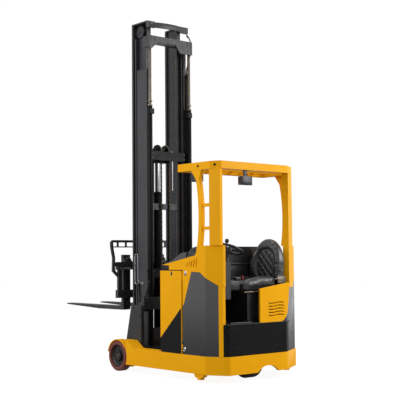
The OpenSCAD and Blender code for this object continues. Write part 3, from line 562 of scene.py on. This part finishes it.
bm = bmesh.new()
slab(bm, (50, 128, 1955), (60, 272, 2046), 4)
for i in range(4):
    for z in (1980, 2020):
        turned(bm, [(15, 0), (14, -2), (4, 5), (2.5, 5)], (49.5, 150 + i * 33, z), (-1, 0, 0), 24)
slab(bm, (462, 498, 1998), (472, 576, 2088), 4)
from_bmesh("lamp_fronts", bm, "chassis", "black_plastic", PLASTIC)
rows("lamp_fins", "chassis", (115, 140, 2000), 12, (0, 11, 0), (8, 3, 70), PLASTIC, "black_plastic")
rows("side_lamp_fins", "chassis", (380, 537, 2004), 8, (11, 0, 0), (3, 78, 6), PLASTIC, "black_plastic")
bm = bmesh.new()
slab(bm, (46.5, 134, 1962), (49.5, 266, 2039), 1)
slab(bm, (471, 504, 2004), (474, 570, 2082), 1)
from_bmesh("lamp_lenses", bm, "chassis", "black_plastic", LAMP_FRONT)
screws("lamp_screws", "chassis", [((70, y, 2064), (0, s, 0)) for y, s in ((179, -1), (221, 1))], 6, 5)


# Chains
# Leaf chain of 25.4 mm pitch in oiled steel: plates by turns three and two abreast on short pins. One
# tree lays the links along a seed line.
CHAIN, given, result = new_tree("leaf_chain", [("Pitch", "Float", 0.0254), ("Width", "Float", 0.018),
                                               ("Height", "Float", 0.016), ("Material", "Material", None)])
path = add(CHAIN, "GeometryNodeMeshToCurve", {0: given.outputs[0]})
evenly = add(CHAIN, "GeometryNodeResampleCurve", {"Curve": path.outputs[0], "Length": given.outputs["Pitch"]},
             mode="LENGTH")
disc = add(CHAIN, "GeometryNodeMeshCylinder", {"Vertices": 8, "Radius": 1, "Depth": 1})
tall = add(CHAIN, "ShaderNodeMath", {0: given.outputs["Height"], 1: 0.5}, operation="MULTIPLY")
long = add(CHAIN, "ShaderNodeMath", {0: given.outputs["Pitch"], 1: 0.68}, operation="MULTIPLY")
thick = add(CHAIN, "ShaderNodeMath", {0: given.outputs["Width"], 1: 0.14}, operation="MULTIPLY")
size = add(CHAIN, "ShaderNodeCombineXYZ", {0: tall.outputs[0], 1: long.outputs[0], 2: thick.outputs[0]})
plate = add(CHAIN, "GeometryNodeTransform", {"Geometry": disc.outputs[0], "Rotation": (math.pi / 2, 0, 0),
                                             "Scale": size.outputs[0]})
pin = add(CHAIN, "GeometryNodeMeshCylinder", {"Vertices": 6, "Radius": 0.003, "Depth": given.outputs["Width"]})
ahead = add(CHAIN, "ShaderNodeMath", {0: given.outputs["Pitch"], 1: 0.5}, operation="MULTIPLY")
pin_place = add(CHAIN, "ShaderNodeCombineXYZ", {2: ahead.outputs[0]})
across = add(CHAIN, "GeometryNodeTransform", {"Geometry": pin.outputs[0], "Rotation": (math.pi / 2, 0, 0),
                                              "Translation": pin_place.outputs[0]})
index = add(CHAIN, "GeometryNodeInputIndex")
odd = add(CHAIN, "ShaderNodeMath", {0: index.outputs[0], 1: 2}, operation="MODULO")
even = add(CHAIN, "ShaderNodeMath", {0: 1, 1: odd.outputs[0]}, operation="SUBTRACT")
tangent = add(CHAIN, "GeometryNodeInputTangent")
along = add(CHAIN, "FunctionNodeAlignRotationToVector", {"Vector": tangent.outputs[0]}, axis="Z", pivot_axis="Y")
joined = add(CHAIN, "GeometryNodeJoinGeometry")
for chosen, offsets in ((odd, (-0.4, 0, 0.4)), (even, (-0.2, 0.2))):
    link = add(CHAIN, "GeometryNodeJoinGeometry")
    CHAIN.links.new(across.outputs[0], link.inputs[0])
    for offset in offsets:
        away = add(CHAIN, "ShaderNodeMath", {0: given.outputs["Width"], 1: offset}, operation="MULTIPLY")
        place = add(CHAIN, "ShaderNodeCombineXYZ", {1: away.outputs[0]})
        moved = add(CHAIN, "GeometryNodeTransform", {"Geometry": plate.outputs[0], "Translation": place.outputs[0]})
        CHAIN.links.new(moved.outputs[0], link.inputs[0])
    laid = add(CHAIN, "GeometryNodeInstanceOnPoints",
               {"Points": evenly.outputs[0], "Selection": chosen.outputs[0], "Instance": link.outputs[0],
                "Rotation": along.outputs[0]})
    CHAIN.links.new(laid.outputs[0], joined.inputs[0])
close_tree(CHAIN, given, result, joined.outputs[0])


def line_mesh(name, *runs):
    """A mesh of edges only, one line for each run of places."""
    mesh = bpy.data.meshes.new(name)
    places, edges = [], []
    for run in runs:
        edges += [(len(places) + i, len(places) + i + 1) for i in range(len(run) - 1)]
        places += [P(*place) for place in run]
    mesh.from_pydata(places, edges, [])
    return mesh


def over_pulley(x, z, count, step):
    """Places (x, z) up the rear of a pulley and over it, step degrees apart."""
    turns = [math.radians(step * i) for i in range(count)]
    return [(x - PULLEY * math.cos(turn), z + PULLEY * math.sin(turn)) for turn in turns]


PULLEY = 76
grown("free_lift_chains", line_mesh("free_lift_chains", *[
    [(1628, y, 700)] + [(x, y, z) for x, z in over_pulley(1705, 2450, 16, 12)] + [(1783, y, 1110)]
    for y in (-58, 58)]), CHAIN, {"Material": DULL}, "lift_head", "steel")
grown("mast_chains", line_mesh("mast_chains", *[[(1662, y, 330), (1662, y, 3590)] for y in (-196, 196)]),
      CHAIN, {"Width": 0.014, "Material": DULL}, "mast_inner", "steel")
grown("outer_chains", line_mesh("outer_chains", *[[(1581, y, 2960), (1581, y, 3610)] for y in (-246, 246)]),
      CHAIN, {"Width": 0.016, "Material": DULL}, "mast_middle", "steel")


# Hoses and pipes
# Hydraulic pipes of bent steel tube and rubber hoses with crimped ferrules, and the glands that close
# the lift cylinders. One tree sweeps a tube along a seed line and puts a ferrule on each end.
HOSE, given, result = new_tree("hose", [("Radius", "Float", 0.006), ("Ferrule Radius", "Float", 0.009),
                                        ("Ferrule Length", "Float", 0.03), ("Material", "Material", None)])
path = add(HOSE, "GeometryNodeMeshToCurve", {0: given.outputs[0]})
ring = add(HOSE, "GeometryNodeCurvePrimitiveCircle", {"Resolution": 12, "Radius": given.outputs["Radius"]})
tube = add(HOSE, "GeometryNodeCurveToMesh", {"Curve": path.outputs[0], "Profile Curve": ring.outputs[0],
                                             "Fill Caps": True})
ends = add(HOSE, "GeometryNodeCurveEndpointSelection", {"Start Size": 1, "End Size": 1})
ferrule = add(HOSE, "GeometryNodeMeshCylinder", {"Vertices": 12, "Radius": given.outputs["Ferrule Radius"],
                                                 "Depth": given.outputs["Ferrule Length"]})
tangent = add(HOSE, "GeometryNodeInputTangent")
along = add(HOSE, "FunctionNodeAlignRotationToVector", {"Vector": tangent.outputs[0]}, axis="Z")
fitted = add(HOSE, "GeometryNodeInstanceOnPoints",
             {"Points": path.outputs[0], "Selection": ends.outputs[0], "Instance": ferrule.outputs[0],
              "Rotation": along.outputs[0]})
joined = add(HOSE, "GeometryNodeJoinGeometry")
HOSE.links.new(tube.outputs[0], joined.inputs[0])
HOSE.links.new(fitted.outputs[0], joined.inputs[0])
close_tree(HOSE, given, result, joined.outputs[0])


def bent(corners, radius=30, steps=5):
    """The line through the corners with each bend rounded, as a pipe bender leaves it."""
    places = [Vector(corners[0])]
    for before, here, after in zip(corners, corners[1:], corners[2:]):
        before, here, after = Vector(before), Vector(here), Vector(after)
        near = min(radius, (before - here).length * 0.45, (after - here).length * 0.45)
        a, b = here + (before - here).normalized() * near, here + (after - here).normalized() * near
        for i in range(steps + 1):
            t = i / steps
            places.append(a.lerp(here, t).lerp(here.lerp(b, t), t))
    return places + [Vector(corners[-1])]


def pipes(name, body, radius, material, slot, *runs, bend=30):
    """Pipes or hoses of one radius on one body, through runs of places in millimetres."""
    return grown(name, line_mesh(name, *[bent(run, bend) for run in runs]), HOSE,
                 {"Radius": radius / 1000, "Ferrule Radius": radius * 1.45 / 1000,
                  "Ferrule Length": radius * 5 / 1000, "Material": material}, body, slot)


pipes("mast_pipes", "reach_carriage", 4.5, STEEL, "steel",
      [(1654, 311, 960), (1742, 311, 962), (1742, 311, 1256), (1752, 309, 1266)],
      [(1654, 311, 942), (1798, 311, 944), (1798, 311, 1256), (1790, 309, 1266)], bend=22)
pipes("mast_hoses", "reach_carriage", 8, RUBBER, "black_plastic",
      [(1719, 312, 941), (1719, 312, 840), (1690, 330, 762)],
      [(1532, 318, 960), (1540, 322, 880), (1560, 340, 812)],
      [(1546, 318, 1100), (1546, 322, 900), (1580, 345, 790)], bend=60)
pipes("head_hoses", "lift_head", 5, STEEL, "steel",
      *[[(x, y, 2440), (x, y, 2300), (x + 6, y - 6, 2130), (x + 4, y - 3, 2010)]
        for x, y in ((1608, -88), (1624, -102))])
pipes("wheel_hoses", "mast_inner", 7, RUBBER, "black_plastic",
      *[[(x, s * y, z) for x, z in over_pulley(1755, 3823, 13, 15)] for s in (-1, 1) for y in (232, 247)], bend=5)
for s, side in ((-1, "right"), (1, "left")):
    bm = bmesh.new()
    for z in (2952, 3000):
        turned(bm, [(23, 0), (27, 3), (27, 14), (23, 18)], (1538, s * 285, z - 12), (0, 0, 1))
    from_bmesh("lift_gland_" + side, bm, "reach_carriage", "steel", DULL)
bm = bmesh.new()
turned(bm, [(40, 0), (49, 4), (49, 30), (42, 36), (30, 37)], (1705, 58, 1952), (0, 0, 1), 40)
for y in (40, 76):
    slab(bm, (1630, y - 8, 1795), (1641, y + 8, 1835), 2)
from_bmesh("free_lift_gland", bm, "mast_inner", "black_paint", BLACK)


# Seat
# A sprung driver's seat in black vinyl: foam cushion and back with side bolsters, the back's middle
# panel quilted in diamonds with light thread. Both swell over their foam and are sewn down at the seams.
SEAT_LEFT, SEAT_WIDE, BACK_FOOT, BACK_TILT = 62, 440, (-247, 940), math.radians(4)


def stuffed(name, bm, voxel, cap):
    """Remeshes a closed form and swells it as cloth over foam, no point further than the cap."""
    mesh = bpy.data.meshes.new(name)
    bmesh.ops.recalc_face_normals(bm, faces=bm.faces)
    bm.to_mesh(mesh)
    bm.free()
    pad = bpy.data.objects.new(name, mesh)
    bpy.context.scene.collection.objects.link(pad)
    even = pad.modifiers.new("even", "REMESH")
    even.mode, even.voxel_size = "VOXEL", voxel
    pad.data = as_seen(pad)
    pad.modifiers.clear()
    still = [v.co.copy() for v in pad.data.vertices]
    swell = pad.modifiers.new("swell", "CLOTH")
    swell.settings.use_pressure = True
    swell.settings.uniform_pressure_force = 4
    swell.settings.effector_weights.gravity = 0
    swell.point_cache.frame_start, swell.point_cache.frame_end = 1, 20
    for frame_number in range(1, 21):
        bpy.context.scene.frame_set(frame_number)
    swollen = as_seen(pad)
    pad.modifiers.clear()
    for old, vertex in zip(still, swollen.vertices):
        moved = vertex.co - old
        if moved.length > cap:
            vertex.co = old + moved.normalized() * cap
    pad.data = swollen
    bpy.context.scene.frame_set(1)
    finer = pad.modifiers.new("finer", "SUBSURF")
    finer.levels = finer.render_levels = 1
    mesh = as_seen(pad)
    bpy.data.objects.remove(pad)
    mesh.shade_smooth()
    mesh.name = name
    return mesh


def rounded_block(bm, low, high, power):
    """A block between two corners in millimetres, rounder all over the lower the power."""
    bmesh.ops.create_cube(bm, size=2)
    bmesh.ops.subdivide_edges(bm, edges=bm.edges[:], cuts=11, use_grid_fill=True)
    a, b = P(*low), P(*high)
    for v in bm.verts:
        length = sum(abs(c) ** power for c in v.co) ** (1 / power)
        v.co = Vector([(m + n) / 2 + (n - m) / 2 * c / length for m, n, c in zip(a, b, v.co)])


bm = bmesh.new()
rounded_block(bm, (70, -238, 896), (494, 243, 992), 7)
middle = P(SEAT_LEFT + SEAT_WIDE / 2, 0, 0).x
for v in bm.verts:
    if v.co.z > 0.95:
        side = min(1, max(0, (abs(v.co.x - middle) - 0.12) / 0.05))
        front = min(1, max(0, (v.co.y - 0.15) / 0.09))
        fading = 1 - 0.85 * min(1, max(0, (v.co.y - 0.02) / 0.18))
        v.co.z += 0.042 * fading * side * side * (3 - 2 * side) - 0.022 * front * front - 0.006 * (1 - side)
mesh = stuffed("seat_cushion_pad", bm, 0.006, 0.01)
for vertex, upward in zip(mesh.vertices, [v.normal.z > 0.3 for v in mesh.vertices]):
    if vertex.co.z > 0.96 and upward:
        aside = abs(abs(vertex.co.x - middle) - 0.128)
        across = min(abs(vertex.co.y - y) for y in (-0.105, 0.075)) if abs(vertex.co.x - middle) < 0.128 else 1
        vertex.co.z -= 0.007 * math.exp(-(aside / 0.0045) ** 2) + 0.005 * math.exp(-(across / 0.0045) ** 2)
cushion = finished("seat_cushion_pad", mesh, "chassis", "seat_cover", VINYL)
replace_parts(cushion, "seat_cushion")


def on_back(u, w, t):
    """A place on the backrest: across, up it, and back from its front face, in millimetres."""
    c, k = math.cos(BACK_TILT), math.sin(BACK_TILT)
    return P(SEAT_LEFT + u, BACK_FOOT[0] - t * c - w * k, BACK_FOOT[1] - t * k + w * c)


def back_local(place):
    """The reverse of on_back."""
    c, k = math.cos(BACK_TILT), math.sin(BACK_TILT)
    y, z = place.y * 1000 - BACK_FOOT[0], place.z * 1000 - BACK_FOOT[1]
    return place.x * 1000 + HALF_LENGTH - SEAT_LEFT, -k * y + c * z, -c * y - k * z


SEAT_HALF = SEAT_WIDE / 2
rim = [(10, 10), (-4, 60), (-6, 140), (-6, 200)]
rim += [(SEAT_HALF + (SEAT_HALF + 6) * math.cos(a) * (1 - 0.1 * math.sin(a)), 250 + 252 * math.sin(a))
        for a in [math.radians(180 - 6 * i) for i in range(31)]]
rim += [(SEAT_WIDE - u, w) for u, w in reversed(rim[:4])]
bm = bmesh.new()
rings = [[bm.verts.new(on_back(SEAT_HALF + (u - SEAT_HALF) * shrink, 240 + (w - 240) * shrink, t)) for u, w in rim]
         for t, shrink in ((8, 0.84), (11, 0.92), (20, 0.965), (46, 0.975), (72, 0.965), (82, 0.92), (86, 0.84))]
bm.faces.new(rings[0])
for low, high in zip(rings, rings[1:]):
    band(bm, low, high)
bm.faces.new(rings[-1])
bmesh.ops.triangulate(bm, faces=bm.faces[:])
mesh = stuffed("seat_back_pad", bm, 0.0055, 0.01)
QUILT, STITCH_STEP, DIAGONAL = 56, 9, math.sqrt(2)


def panel_edge(u, w):
    """1 on the seam round the quilted panel, less inside it."""
    return (abs(u - SEAT_HALF) / 122) ** 2.6 + (abs(w - 215) / 160) ** 2.6


for vertex in mesh.vertices:
    u, w, t = back_local(vertex.co)
    if t < 34:
        edge = panel_edge(u, w)
        depth = 6 * math.exp(-((edge - 1) / 0.09) ** 2)
        if edge < 1:
            lines = [abs((d / DIAGONAL + QUILT / 2) % QUILT - QUILT / 2)
                     for d in (u - SEAT_HALF + w, u - SEAT_HALF - w)]
            depth += 2 * (1 - edge ** 6) + 4 * sum(math.exp(-(d / 4) ** 2) for d in lines)
        else:
            wing = max(0, (abs(u - SEAT_HALF) - 115) / 105) * max(0, 1 - abs(w - 190) / 260)
            depth -= 6 * min(1, (edge - 1) / 0.5) + (78 if u > SEAT_HALF else 46) * wing
        vertex.co = on_back(u, w, t + depth * max(0, 1 - t / 34))
back = finished("seat_back_pad", mesh, "chassis", "seat_cover", VINYL)
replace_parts(back, "seat_back")

STITCH, given, result = new_tree("stitches", [("Length", "Float", 0.007), ("Thick", "Float", 0.0011),
                                              ("Material", "Material", None)])
grain = add(STITCH, "GeometryNodeMeshIcoSphere", {"Radius": 1, "Subdivisions": 1})
reach = add(STITCH, "ShaderNodeMath", {0: given.outputs["Length"], 1: 0.5}, operation="MULTIPLY")
size = add(STITCH, "ShaderNodeCombineXYZ", {0: reach.outputs[0], 1: given.outputs["Thick"], 2: given.outputs["Thick"]})
facing = add(STITCH, "GeometryNodeInputNamedAttribute", {"Name": "facing"}, data_type="FLOAT_VECTOR")
sewn = add(STITCH, "GeometryNodeInputNamedAttribute", {"Name": "sewn"}, data_type="FLOAT_VECTOR")
stand = add(STITCH, "FunctionNodeAlignRotationToVector", {"Vector": facing.outputs[0]}, axis="Z")
turn = add(STITCH, "FunctionNodeAlignRotationToVector", {"Rotation": stand.outputs[0], "Vector": sewn.outputs[0]},
           axis="X", pivot_axis="Z")
laid = add(STITCH, "GeometryNodeInstanceOnPoints", {"Points": given.outputs[0], "Instance": grain.outputs[0],
                                                    "Rotation": turn.outputs[0], "Scale": size.outputs[0]})
close_tree(STITCH, given, result, laid.outputs[0])

surface = BVHTree.FromPolygons([v.co for v in mesh.vertices], [p.vertices[:] for p in mesh.polygons])
places, ways, facings = [], [], []
for side in (1, -1):
    for line in range(-12, 24):
        for stitch in range(-50, 90):
            a, b = line * QUILT, stitch * STITCH_STEP
            u, w = SEAT_HALF + (a - side * b) / DIAGONAL, (side * a + b) / DIAGONAL
            if panel_edge(u, w) < 0.8:
                start, way = on_back(u, w, -40), on_back(u, w, 60) - on_back(u, w, -40)
                hit, normal, _, _ = surface.ray_cast(start, way.normalized())
                if hit:
                    places.append(hit + normal * 0.0003)
                    facings.append(normal)
                    ways.append(on_back(u - side, w + 1, 0) - on_back(u, w, 0))
seed = bpy.data.meshes.new("quilt_stitches")
seed.from_pydata(places, [], [])
for label, values in (("facing", facings), ("sewn", ways)):
    attribute = seed.attributes.new(label, "FLOAT_VECTOR", "POINT")
    for i, value in enumerate(values):
        attribute.data[i].vector = value
grown("quilt_stitches", seed, STITCH, {"Material": THREAD}, "chassis", "seat_cover")

bm = bmesh.new()
for z, y in ((1087, -276), (1036, -232), (1014, -319)):
    turned(bm, [(12, 0), (12, 4), (9, 7), (5, 8), (4, 12), (2, 13)], (58, y, z), (-1, 0, 0), 24)
slab(bm, (48, -290, 962), (58, -225, 980), 3)
slab(bm, (46, -235, 1006), (52, -168, 1014), 3, Matrix.Rotation(math.radians(-12), 3, "X"))
from_bmesh("recliner", bm, "chassis", "steel", DULL)
bm = bmesh.new()
slab(bm, (50, -330, 960), (57, -215, 1030), 3)
for x in (66, 486):
    slab(bm, (x, -230, 876), (x + 14, 236, 889), 2)
slab(bm, (66, 228, 874), (500, 240, 884), 3)
from_bmesh("seat_slides", bm, "chassis", "steel", DULL)
bm = bmesh.new()
slab(bm, (290, 42, 996), (312, 58, 1040), 3)
slab(bm, (294, 40, 1038), (308, 60, 1044), 1.5)
from_bmesh("belt_buckle", bm, "chassis", "black_plastic", RED)


# Controls
# Moulded arm rest with its control box, the lining's ledge, three small levers, the ribbed rubber
# mat and the step's edge, all black and fixed to the cab. The knob turns with the steering wheel.
bm = bmesh.new()
slab(bm, (80, 268, 1002), (272, 338, 1034), 13)
slab(bm, (74, 296, 906), (286, 430, 998), 9)
slab(bm, (92, 350, 998), (270, 430, 1010), 4)
slab(bm, (470, -545, 1152), (506, 425, 1172), 7)
slab(bm, (488, -545, 1012), (506, 425, 1152), 3)
from_bmesh("arm_rest", bm, "chassis", "black_plastic", PLASTIC)
bm = bmesh.new()
for x, y, z, tall in ((196, 400, 1120, 70), (150, 396, 1008, 44), (232, 396, 1008, 44)):
    turned(bm, [(13, 0), (10, 12), (4, 16), (3.5, tall - 14), (9, tall - 8), (11, tall), (8, tall + 8),
                (2, tall + 11)], (x, y, z), (0.1, -0.1, 1), 20)
slab(bm, (160, 380, 1004), (232, 430, 1122), 12)
slab(bm, (300, 436, 1236), (480, 560, 1262), 6)
from_bmesh("levers", bm, "chassis", "black_plastic", PLASTIC)
bm = bmesh.new()
turned(bm, [(9, 0), (9, 8), (5, 12), (5, 34), (13, 40), (21, 52), (22, 64), (17, 76), (6, 82)], (266, 300, 1340),
       (0, -0.2, 1), 28)
slab(bm, (196, 306, 1312), (204, 314, 1318), 1)
from_bmesh("spinner_knob", bm, "steering_wheel", "black_plastic", PLASTIC)
rows("floor_mat", "chassis", (240, -300, 576.5), 22, (0, 30, 0), (400, 9, 3), RUBBER, "black_plastic")
bm = bmesh.new()
slab(bm, (2, -330, 568), (20, 520, 578), 2)
slab(bm, (24, 172, 575), (62, 470, 592), 5)
from_bmesh("step_edge", bm, "chassis", "black_plastic", PLASTIC)


# Wheel guards
# A strip of 10 mm steel, rolled to the wheel's curve and welded to the end of each leg above its
# load wheel.
turns = [math.radians(12 + 5 * i) for i in range(28)]
arch = [(LOAD_WHEEL_X + r * math.cos(a), LOAD_WHEEL_Z + r * math.sin(a))
        for r, way in ((171, turns), (181, turns[::-1])) for a in way]
bm = bmesh.new()
for s in (-1, 1):
    inner, outer = [[bm.verts.new(P(x, s * y, z)) for x, z in arch] for y in (554, 634)]
    band(bm, inner, outer)
    for side in (inner, outer):
        for i in range(len(turns) - 1):
            bm.faces.new((side[i], side[i + 1], side[-2 - i], side[-1 - i]))
from_bmesh("wheel_guards", bm, "chassis", "yellow_paint", YELLOW)


# Cab front wall
# A moulded black panel across the front of the cab with rounded upper corners, screwed to the
# battery hood's frame.
WALL_HALF, WALL_FOOT, WALL_TOP, CORNER = 600, 575, 1345, 150
outline = [(-WALL_HALF, WALL_FOOT), (WALL_HALF, WALL_FOOT)]
outline += [(side * (WALL_HALF - CORNER) + CORNER * math.cos(a), WALL_TOP - CORNER + CORNER * math.sin(a))
            for side, first in ((1, 0), (-1, 90)) for a in [math.radians(first + 6 * i) for i in range(16)]]
bm = bmesh.new()
rear, front = [[bm.verts.new(P(x, y, z)) for y, z in outline] for x in (505, 541)]
bm.faces.new(rear)
bm.faces.new(front)
band(bm, rear, front)
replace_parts(from_bmesh("cab_front_wall", bm, "chassis", "black_plastic", PLASTIC), "front_wall")


# Fork carriage fittings
# Knobs, plates and pins that lock the forks to the bars, the side shift cylinder with its bright rod
# and the ears that take it, and rubber hoses. The battery's two short cables are here too.
bm = bmesh.new()
for s in (-1, 1):
    turned(bm, [(15, 0), (15, 14), (19, 18), (21, 30), (17, 40), (7, 43)], (2006, s * 268, 1194), (0, 0, 1), 28)
    slab(bm, (1990, s * 250 - 46, 1190), (2060, s * 250 + 46, 1206), 4)
    turned(bm, [(9, 0), (9, 12), (6, 15)], (2060, s * 250, 1240), (1, 0, 0), 20)
    turned(bm, [(9, 0), (9, 12), (6, 15)], (2060, s * 250, 730), (1, 0, 0), 20)
from_bmesh("fork_locks", bm, "fork_carriage", "black_paint", FORGED)
bm = bmesh.new()
turned(bm, [(11, -380), (11, 380)], (1966, 0, 1112), (0, 1, 0), 24)
from_bmesh("side_shift_rod", bm, "tilt_frame", "steel", STEEL)
bm = bmesh.new()
turned(bm, [(15, -150), (18, -145), (18, 145), (15, 150)], (1966, 0, 1112), (0, 1, 0), 32)
from_bmesh("side_shift_barrel", bm, "tilt_frame", "black_paint", BLACK)
bm = bmesh.new()
for s in (-1, 1):
    slab(bm, (1950, s * 388 - 9, 1092), (1986, s * 388 + 9, 1134), 4)
from_bmesh("side_shift_ears", bm, "fork_carriage", "black_paint", FORGED)
pipes("carriage_hoses", "lift_carriage", 7, RUBBER, "black_plastic",
      *[[(1882, s * 60, 1205), (1882, s * 64, 1330), (1862, s * 78, 1390), (1846, s * 92, 1330),
         (1846, s * 100, 1120)] for s in (-1, 1)], bend=50)
pipes("battery_cables", "chassis", 9, RUBBER, "black_plastic",
      [(920, 380, 1125), (945, 380, 1160), (945, 300, 1195), (905, 240, 1178)],
      [(920, 350, 1125), (940, 350, 1150), (940, 270, 1180), (900, 210, 1178)], bend=40)


# Hose at the mast head
# A rubber pressure hose of 14 mm hangs in a loop outside the right rail, from the top of the mast
# down beside the lift rod.
pipes("pressure_hose", "mast_middle", 7, RUBBER, "black_plastic",
      [(1552, -282, 3815), (1550, -304, 3796), (1550, -334, 3740), (1550, -334, 3640), (1552, -290, 3500),
       (1556, -262, 3400), (1560, -276, 3330)], bend=60)
